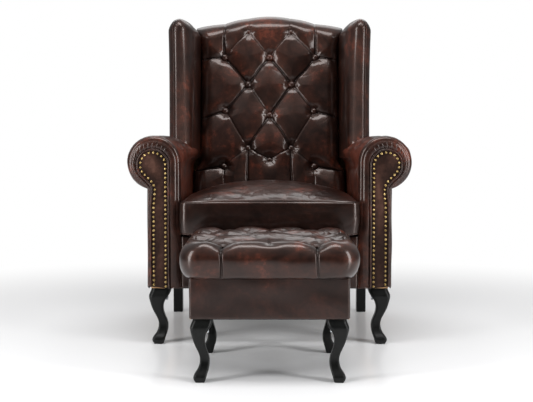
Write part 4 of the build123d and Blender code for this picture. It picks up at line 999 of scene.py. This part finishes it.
# Seat cushion: square rings from the middle of the crown out to the seam, down the boxed side
# and in again underneath
cushion = dict(
    low=cushionLow, high=cushionHigh, cells=270, topShare=0.66, sideShare=0.92, seamZ=0.428,
    cornerRadius=0.027, sideBulge=0.00256, seamInset=0.0015, lowInset=0.004, underInset=0.02,
    pinch=0.0022, footHeight=0.006, frontSpread=0.0055, spreadBehind=(0.010, 0.002),
    crownPower=2.2, crownFullness=0.86, seamWidth=0.006, seamDepth=0.0042, sideShade=0.35,
    frontBetween=(0.12, 0.34), topFade=0.06, sideFade=0.03, broad=(0.0016, 0.17),
    small=(0.0003, 0.06), lines=(0.0006, 0.19), frontLines=(0.0011, 0.085),
    frontSmall=(0.0003, 0.034), sideBroad=(0.0010, 0.14), sideLines=(0.0004, 0.11),
    pipingStep=0.006, pipingRadius=0.0009, lowPipingRadius=0.0018)


def squareRings(cells):
    # a square grid seen as rings: the ring share and the place on the unit square's outline
    line = np.linspace(-1, 1, cells)
    s, t = np.meshgrid(line, line, indexing="ij")
    ring = np.maximum(np.abs(s), np.abs(t))
    safe = np.maximum(ring, 1e-9)
    return ring, s / safe, t / safe


def roundedOutline(a, b, halfX, halfY, corner):
    # a place on the unit square's outline carried to a rectangle with round corners
    x, y = a * halfX, b * halfY
    middleX = np.clip(x, -(halfX - corner), halfX - corner)
    middleY = np.clip(y, -(halfY - corner), halfY - corner)
    runX, runY = x - middleX, y - middleY
    reach = np.hypot(runX, runY)
    inCorner = (np.abs(runX) > 1e-9) & (np.abs(runY) > 1e-9)
    factor = np.where(inCorner, corner / np.maximum(reach, 1e-9), 1.0)
    return middleX + runX * factor, middleY + runY * factor


def rimOf(points):
    # for each place of a square grid the point where its ray meets the rim, and its ring share
    ring, a, b = squareRings(points.shape[0])
    half = (points.shape[0] - 1) / 2
    return points[np.rint((a + 1) * half).astype(int), np.rint((b + 1) * half).astype(int)], ring


def padPiece(name, upper, lower, folds=None):
    # two square grids of points that share their rim, as one closed piece
    cells = upper.shape[0]
    quads = np.concatenate([gridQuads(cells, cells), gridQuads(cells, cells, cells * cells)])
    if folds is not None:
        folds = np.concatenate([folds.ravel(), np.zeros(cells * cells)])
    return makePiece(name, np.concatenate([upper.reshape(-1, 3), lower.reshape(-1, 3)]), quads, folds)


def cushionSurface():
    # the crown is a product of two flattened arches; the boxed side bulges a little
    ring, a, b = squareRings(cushion["cells"])
    low, high = cushion["low"], cushion["high"]
    centre = (low + high) / 2
    halfX, halfY = (high.x - low.x) / 2, (high.y - low.y) / 2
    topShare, sideShare = cushion["topShare"], cushion["sideShare"]
    onTop = unit(ring / topShare)
    onBox = unit((ring - topShare) / (sideShare - topShare))
    under = unit((ring - sideShare) / (1 - sideShare))
    inset = cushion["seamInset"] * (1 - onBox) + cushion["lowInset"] * onBox
    inset = inset - cushion["sideBulge"] * np.sin(math.pi * onBox) ** 0.8
    inset = inset + cushion["underInset"] * under
    # seams pull in between the corners
    inset = inset + cushion["pinch"] * (1 - np.minimum(np.abs(a), np.abs(b)) ** 2)
    outX, outY = roundedOutline(a, b, halfX, halfY, cushion["cornerRadius"])
    reach = np.where(ring < topShare, onTop, 1.0)
    x = outX * ((halfX - inset) / halfX) * reach
    y = outY * ((halfY - inset) / halfY) * reach
    # the part in front of the arms spreads a little wider than the seat between them
    ahead = 1 - smooth(y + centre.y, *[frontY - behind for behind in cushion["spreadBehind"]])
    x = x * (1 + cushion["frontSpread"] / halfX * ahead)
    power = cushion["crownPower"]
    crown = ((1 - unit(np.abs(x) / halfX) ** power)
             * (1 - unit(np.abs(y) / halfY) ** power))
    crown = unit(crown) ** cushion["crownFullness"]
    seamZ, foot = cushion["seamZ"], cushion["footHeight"]
    z = seamZ + (high.z - seamZ) * crown * (ring < topShare)
    z = np.where(ring >= topShare, seamZ + (low.z + foot - seamZ) * onBox, z)
    z = np.where(under > 0, low.z + foot - foot * np.sin(under * math.pi / 2), z)
    points = stacked(x + centre.x, y + centre.y, z)
    middle = cushion["cells"] // 2
    normals = outwardNormals(points, (middle, middle), (0, 0, 1))
    seam = bell(ring - topShare, cushion["seamWidth"])
    top, fade = 1 - smooth(ring, topShare - cushion["topFade"], topShare), cushion["sideFade"]
    side = smooth(ring, topShare, topShare + fade) * (1 - smooth(ring, sideShare - fade, 1))
    # the crown is rumpled most towards its front edge
    frontward = 1 - smooth(points[..., 1], *[low.y + behind for behind in cushion["frontBetween"]])
    rumple = relief(waves, points * np.array([1, 1, 0.4]), cushion["broad"], 201)
    rumple += relief(waves, points, cushion["small"], 202)
    rumple -= relief(creases, points, cushion["lines"], 203, 3)
    rumple -= relief(creases, points * np.array([1, 0.6, 1]), cushion["frontLines"], 207, 3.5) * frontward
    rumple += relief(waves, points, cushion["frontSmall"], 209) * frontward
    calmSide = (relief(waves, points, cushion["sideBroad"], 211)
                - relief(creases, points, cushion["sideLines"], 212))
    shift = rumple * top + calmSide * side - cushion["seamDepth"] * seam
    points = points + normals * shift[..., None]
    # painted shade darkens the seam groove and the boxed side
    return points, np.maximum(seam, cushion["sideShade"] * side)


def cushionUnderside(points):
    # the same grid laid flat; its rim is the last ring, so that both join there
    rim, ring = rimOf(points)
    centre, lowZ = (cushion["low"] + cushion["high"]) / 2, cushion["low"].z
    middle = np.array([centre.x, centre.y, lowZ])
    bottom = mix(middle, rim, ring[..., None])
    bottom[..., 2] = lowZ + (rim[..., 2] - lowZ) * smooth(ring, 0.9, 1.0)
    return bottom


def ringLine(points, share):
    # the grid's ring nearest to a share, walked once round
    cells = points.shape[0]
    low = int(round((1 - share) / 2 * (cells - 1)))
    high = cells - 1 - low
    steps = np.arange(low, high)
    walk = [(steps, np.full(len(steps), low)), (np.full(len(steps), high), steps),
            (steps[::-1] + 1, np.full(len(steps), high)), (np.full(len(steps), low), steps[::-1] + 1)]
    return np.concatenate([points[i, j] for i, j in walk])


points, folds = cushionSurface()
dress(padPiece("seat_cushion", points, cushionUnderside(points), folds), "cushion",
      "oxblood_leather", "seat_cushion_core", "seat_cushion_cover", fill=0.8)
for name, share, radius in (("cushion_piping", "topShare", "pipingRadius"),
                            ("cushion_low_piping", "sideShare", "lowPipingRadius")):
    line = resample(ringLine(points, cushion[share]), cushion["pipingStep"], closed=True)
    dress(tube(name, line, cushion[radius], closed=True), "cushion", "oxblood_leather")
print("cushion made")

# Front border below the cushion, and the deck that the cushion lies on
border = dict(columns=120, rows=50, softAcross=0.02, softLow=0.04, softHigh=0.10, seat=0.001,
              thickness=0.0045, ripple=(0.0012, 0.12), rear=0.010, shade=0.4, base=0.3)
borderLow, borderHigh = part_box("front_border")


def borderPanel():
    # a flat rectangle of hide with a slow ripple, rounded back at its edges
    share = np.linspace(0, 1, border["rows"])[:, None]
    across = np.linspace(-1, 1, border["columns"])[None]
    x = across * borderHigh.x + 0 * share
    z = mix(borderLow.z, borderHigh.z, share) + 0 * across
    soft = softEdge(np.minimum((1 - np.abs(across)) / border["softAcross"],
                               np.minimum(share / border["softLow"], (1 - share) / border["softHigh"])))
    ripple = relief(waves, stacked(x, 0 * x, z), border["ripple"], 231)
    y = borderLow.y + border["seat"] - (border["thickness"] + ripple) * soft
    front = stacked(x, y, z)
    rear = stacked(x, np.full_like(x, borderHigh.y + border["rear"]), z)
    # painted shade: the fold share rises where the panel rounds back at its edges, above an even darker
    # tone all over
    return sheet("front_border_panel", front, rear, (1 - soft) * border["shade"] + border["base"],
                 border["base"])


dress(borderPanel(), "root", "oxblood_leather", "front_border")

deck = dict(cells=90, topShare=0.9, gapX=0.0005, gapY=0.004, corner=0.02, topGap=0.0006, edgeDrop=0.003)
deckLow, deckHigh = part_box("seat_deck")


def deckPad():
    # a low pad with rounded edges, in black platform cloth
    ring, a, b = squareRings(deck["cells"])
    halfX = (deckHigh.x - deckLow.x) / 2 - deck["gapX"]
    halfY = (deckHigh.y - deckLow.y) / 2 - deck["gapY"]
    centre = (deckLow + deckHigh) / 2
    inside = unit(ring / deck["topShare"])
    down = unit((ring - deck["topShare"]) / (1 - deck["topShare"]))
    outX, outY = roundedOutline(a, b, halfX, halfY, deck["corner"])
    top = deckHigh.z - deck["topGap"] - deck["edgeDrop"] * inside ** 6
    z = mix(top, deckLow.z, down)
    upper = stacked(outX * inside + centre.x, outY * inside + centre.y, z)
    lower = stacked(outX * ring + centre.x, outY * ring + centre.y, np.full_like(z, deckLow.z))
    return padPiece("deck_pad", upper, lower)


dress(deckPad(), "root", "black_cloth", "seat_deck", fill=0.9)
print("border and deck made")

# Footstool top: square rings over the tufted top, round the fat edge and in under it
stoolLow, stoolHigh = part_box("stool_cover")
stool = dict(
    cells=330, corner=0.050, topShare=0.70, draw=0.034, waistZ=0.316, underInset=0.022,
    crown=0.004, edgeRun=0.16, footFrom=0.75, sideCalm=0.72, creaseCalm=0.10, calmBetween=(0.10, 0.45),
    creaseEnd=0.93, topOnly=0.3, lump=(0.0009, 0.09), ripple=(0.0003, 0.03), crease=(0.0006, 0.08),
    rowShares=(-0.74, -0.37, 0, 0.37, 0.74), evenShares=(-0.52, 0.52), oddShares=(-0.86, 0, 0.86),
    linkReach=0.6, endSpread=1.04, past=0.5, endStrength=0.85, middleStrength=0.3,
    buttonSeat=0.0215, button=dict(buttonShape, radius=0.0115, rise=0.007),
    tuft=dict(pillow=0.048, pleatDepth=0.0200, creaseWidth=0.0026, creaseDepth=0.0055,
              funnel=0.034, buttonDepth=0.011, gather=0.0015, fan=0.044, wander=0.0016))
stoolHalfX, stoolHalfY = (stoolHigh.x - stoolLow.x) / 2, (stoolHigh.y - stoolLow.y) / 2
stoolMid = (stoolLow + stoolHigh) / 2
stoolButtons = [[(stoolHalfX * share, -stoolHalfY * rowShare)
                 for share in (stool["evenShares"] if index % 2 == 0 else stool["oddShares"])]
                for index, rowShare in enumerate(stool["rowShares"])]


def stoolPleats():
    # buttons are tied to their neighbours in the next row, and the outer ones to the edges
    pleats = []
    past, strength = stool["past"], stool["endStrength"]
    for upper, lower in zip(stoolButtons, stoolButtons[1:]):
        pleats += [(start, end, 1.0) for start in upper for end in lower
                   if abs(start[0] - end[0]) < stool["linkReach"] * stoolHalfX]
    for row, way in ((stoolButtons[0], 1), (stoolButtons[-1], -1)):
        pleats += [(place, (place[0] * stool["endSpread"], way * past), strength) for place in row]
    for row, way in ((stoolButtons[1], 1), (stoolButtons[3], -1)):
        pleats.append((row[1], (0.0, way * stoolHalfY), stool["middleStrength"]))
        pleats += [(place, (math.copysign(past, place[0]), place[1]), strength)
                   for place in (row[0], row[-1])]
    return pleats


def stoolSurface():
    # a crowned rectangle, then a quarter round out and down to the waist and a second one in
    # to the foot of the pad; every point drops along its normal as the tufting asks
    ring, a, b = squareRings(stool["cells"])
    top = stool["topShare"]
    onTop = unit(ring / top)
    edge = unit((ring - top) / (1 - top))
    upperHalf = unit(edge / 0.5) * math.pi / 2
    lowerHalf = unit((edge - 0.5) / 0.5) * math.pi / 2
    inset = stool["draw"] * (1 - np.sin(upperHalf)) + stool["underInset"] * (1 - np.cos(lowerHalf))
    height = stoolHigh.z - (stoolHigh.z - stool["waistZ"]) * (1 - np.cos(upperHalf))
    height = height - (stool["waistZ"] - stoolLow.z) * np.sin(lowerHalf)
    outX, outY = roundedOutline(a, b, stoolHalfX, stoolHalfY, stool["corner"])
    scaleX, scaleY = (stoolHalfX - inset) / stoolHalfX, (stoolHalfY - inset) / stoolHalfY
    x, y = outX * scaleX * onTop, outY * scaleY * onTop
    crown = stool["crown"] * (1 - (x / stoolHalfX) ** 2) * (1 - (y / stoolHalfY) ** 2)
    points = stacked(x, y, height + crown - stool["crown"])
    # the tufting's plane goes on outwards down the sides
    run = stool["edgeRun"] * edge
    sideways = np.abs(a) >= np.abs(b)
    flat = np.stack([np.where(sideways, x + np.sign(a) * run, x),
                     np.where(sideways, y, y + np.sign(b) * run)], -1)
    soft, sharp, fold = tuftDrop(flat, [place for row in stoolButtons for place in row],
                                 stoolPleats(), stool["tuft"], 301)
    middle = stool["cells"] // 2
    normals = outwardNormals(points, (middle, middle), (0, 0, 1))
    footFade = 1 - smooth(edge, stool["footFrom"], 1.0)
    calm = smooth(edge, *stool["calmBetween"])
    # the pleats' own creases run on down the sides to the foot of the pad
    creaseFade = (1 - stool["creaseCalm"] * calm) * (1 - smooth(edge, stool["creaseEnd"], 1.0))
    onTopOnly = 1 - smooth(edge, 0.0, stool["topOnly"])
    lumps = relief(waves, points, stool["lump"], 305)
    lumps += relief(waves, points, stool["ripple"], 306) * onTopOnly
    lumps -= relief(creases, points, stool["crease"], 307) * onTopOnly
    shift = (lumps - soft * (1 - stool["sideCalm"] * calm)) * footFade - sharp * creaseFade
    return points + normals * shift[..., None], fold * creaseFade


points, folds = stoolSurface()
rim, ring = rimOf(points)
under = np.array([0, 0, 1.0]) * rim + np.array([1.0, 1.0, 0]) * rim * ring[..., None]
stoolPlace = np.array([stoolMid.x, stoolMid.y, 0])
dress(padPiece("stool_top", points + stoolPlace, under + stoolPlace, folds), "footstool",
      "oxblood_leather", "stool_cover", "stool_foam", fill=0.8)
stoolPlaces = [(x + stoolMid.x, y + stoolMid.y, stoolHigh.z - stool["buttonSeat"])
               for row in stoolButtons for x, y in row]
dress(domes("stool_button_set", stoolPlaces, (0, -0.001, 1), stool["button"]),
      "footstool", "oxblood_leather", "stool_buttons")
print("stool top made")

# Footstool border: hide stretched round the box, soft at its corners and turned under
stoolBox = dict(points=400, rows=40, corner=0.007, tuck=0.0012, tuckFrom=0.96,
                ease=(0.0009, 0.14), wall=0.003, shade=0.22)
boxLow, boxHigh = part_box("stool_border")


def stoolBorder():
    # an upright band: outline points round the box, rows from the outer top to the inner top
    turn = np.linspace(0, 1, stoolBox["points"], endpoint=False)
    square = np.stack([np.clip(2 - np.abs(turn * 8 - 4), -1, 1),
                       np.clip(2 - np.abs(np.mod(turn + 0.75, 1) * 8 - 4), -1, 1)], -1)
    halfX, halfY = (boxHigh.x - boxLow.x) / 2, (boxHigh.y - boxLow.y) / 2
    middle = (boxLow + boxHigh) / 2
    outX, outY = roundedOutline(square[:, 0], square[:, 1], halfX, halfY, stoolBox["corner"])
    share = np.linspace(0, 1, stoolBox["rows"])
    near = (share - stoolBox["tuckFrom"]) / (1 - stoolBox["tuckFrom"])
    soft = stoolBox["tuck"] * (1 - softEdge(1 - near))
    scale = (1 - soft / halfX)[:, None]
    z = mix(boxHigh.z, boxLow.z, share)[:, None]
    points = stacked(outX * scale, outY * scale, z + 0 * outX)
    ease = relief(waves, points, stoolBox["ease"], 321) * np.sin(math.pi * share)[:, None]
    direction = points * np.array([1, 1, 0])
    direction /= np.linalg.norm(direction, axis=-1, keepdims=True)
    points = points + direction * ease[..., None]
    inner = points[::-1].copy()
    inner[..., 0] *= (halfX - stoolBox["wall"]) / halfX
    inner[..., 1] *= (halfY - stoolBox["wall"]) / halfY
    inner[..., 2] = np.linspace(boxLow.z, boxHigh.z, stoolBox["rows"])[:, None]
    everything = np.concatenate([points, inner]) + np.array([middle.x, middle.y, 0])
    # flat stretched hide keeps its dark top coat, so its fold share is raised all over
    return makePiece("stool_border_panel", everything, ringQuads(*everything.shape[:2]),
                     np.full(everything.shape[:2], stoolBox["shade"]))


dress(stoolBorder(), "footstool", "oxblood_leather", "stool_border")
print("stool border made")

# Floor: a pale round sheet that fades to the white of the backdrop with distance
studio = dict(floorColour="#f9f9fa", floorRough=0.18, floorSpecular=0.4, floorSides=64,
              floorReach=(0.3, 0.8, 2.0, 5.0, 14.0), fadeStart=0.9, fadeEnd=2.2, lowEnv=0.035,
              highEnv=0.62, envFrom=-0.15, envTo=0.95, envWay=(0.0, 0.2, 0.98))


def roundFloor():
    # rings of points round the chair, closed at the middle by a strip across the first ring
    sides = studio["floorSides"]
    turn = np.linspace(0, 2 * math.pi, sides, endpoint=False)
    reach = np.array(studio["floorReach"])[:, None]
    points = stacked(reach * np.cos(turn), reach * np.sin(turn), 0 * reach + 0 * turn)
    index = np.arange(points.shape[0] * sides).reshape(-1, sides)
    after = np.roll(index, -1, axis=1)
    around = stacked(index[:-1], after[:-1], after[1:], index[1:]).reshape(-1, 4)
    near = np.arange(sides // 2 - 1)
    strip = stacked(near, near + 1, sides - 2 - near, sides - 1 - near)
    mesh = bpy.data.meshes.new("floor")
    mesh.from_pydata(points.reshape(-1, 3).tolist(), [], np.concatenate([around, strip]).tolist())
    obj = bpy.data.objects.new("floor", mesh)
    bpy.context.scene.collection.objects.link(obj)
    return obj


floor = roundFloor()
floorMaterial, tree = newMaterial("studio_floor")
place = addNode(tree, "ShaderNodeTexCoord").outputs["Object"]
distance = addNode(tree, "ShaderNodeVectorMath", {"operation": "LENGTH"}, {0: place}).outputs["Value"]
fade = addNode(tree, "ShaderNodeMapRange",
               {"interpolation_type": "SMOOTHSTEP", "From Min": studio["fadeStart"],
                "From Max": studio["fadeEnd"]}, {"Value": distance}).outputs["Result"]
path = addNode(tree, "ShaderNodeLightPath")
seen = addNode(tree, "ShaderNodeMath", {"operation": "MULTIPLY"},
               {0: fade, 1: path.outputs["Is Camera Ray"]}).outputs[0]
sheetShader = addNode(tree, "ShaderNodeBsdfPrincipled",
                      {"Base Color": toLinear(studio["floorColour"]),
                       "Roughness": studio["floorRough"],
                       "Specular IOR Level": studio["floorSpecular"]})
white = addNode(tree, "ShaderNodeEmission", {"Color": (1, 1, 1, 1), "Strength": 1.0})
mixed = addNode(tree, "ShaderNodeMixShader",
                links={0: seen, 1: sheetShader.outputs[0], 2: white.outputs[0]})
addNode(tree, "ShaderNodeOutputMaterial", links={"Surface": mixed.outputs[0]})
floor.data.materials.append(floorMaterial)

# World: white wherever it is seen, and otherwise bright overhead and dark towards the floor
world = bpy.data.worlds.new("studio")
bpy.context.scene.world = world
world.use_nodes = True
tree = world.node_tree
tree.nodes.clear()
way = addNode(tree, "ShaderNodeTexCoord").outputs["Generated"]
lift = addNode(tree, "ShaderNodeVectorMath", {"operation": "DOT_PRODUCT", 1: studio["envWay"]},
               {0: way}).outputs["Value"]
glow = addNode(tree, "ShaderNodeMapRange",
               {"interpolation_type": "SMOOTHSTEP", "From Min": studio["envFrom"],
                "From Max": studio["envTo"], "To Min": studio["lowEnv"],
                "To Max": studio["highEnv"]}, {"Value": lift}).outputs["Result"]
path = addNode(tree, "ShaderNodeLightPath")
seen = addNode(tree, "ShaderNodeMath", {"operation": "MAXIMUM"},
               {0: path.outputs["Is Camera Ray"], 1: path.outputs["Is Transmission Ray"]}).outputs[0]
strength = addNode(tree, "ShaderNodeMath", {"operation": "MAXIMUM"}, {0: glow, 1: seen}).outputs[0]
backdrop = addNode(tree, "ShaderNodeBackground", {"Color": (1, 1, 1, 1)}, {"Strength": strength})
addNode(tree, "ShaderNodeOutputWorld", links={"Surface": backdrop.outputs[0]})

# Soft boxes: the two at the sides reach down to the floor, so that upright edges shine all
# the way
sideBox = dict(aim=(0, 0.1, 0.75), size=(0.75, 2.7), power=76)
lamps = dict(
    leftBox=dict(sideBox, place=(-2.5, -2.0, 1.35)), rightBox=dict(sideBox, place=(2.5, -2.0, 1.35)),
    rearBox=dict(place=(0, 2.0, 2.7), aim=(0, 0, 0.45), size=(2.6, 1.4), power=20),
    topBox=dict(place=(0, -0.9, 3.2), aim=(0, 0.1, 0.4), size=(2.2, 0.9), power=58))
for name, lamp in lamps.items():
    data = bpy.data.lights.new(name, "AREA")
    data.shape = "RECTANGLE"
    data.size, data.size_y = lamp["size"]
    data.energy = lamp["power"]
    light = bpy.data.objects.new(name, data)
    light.location = lamp["place"]
    aim = Vector(lamp["aim"]) - Vector(lamp["place"])
    light.rotation_euler = aim.to_track_quat("-Z", "Y").to_euler()
    bpy.context.scene.collection.objects.link(light)

# Camera: a long lens at sitting eye height, straight in front and a little down
view = dict(place=(0.0, frontY - 3.12, 0.614), pitch=-3.4, yaw=0.167, lens=71.7, sensor=36.0,
            clipEnd=60)
cameraData = bpy.data.cameras.new("photo_camera")
cameraData.lens = view["lens"]
cameraData.sensor_width = view["sensor"]
cameraData.clip_end = view["clipEnd"]
camera = bpy.data.objects.new("photo_camera", cameraData)
camera.location = view["place"]
camera.rotation_euler = (math.radians(90 + view["pitch"]), 0, math.radians(view["yaw"]))
bpy.context.scene.collection.objects.link(camera)
bpy.context.scene.camera = camera
bpy.context.scene.view_settings.view_transform = "Standard"
print("studio made")
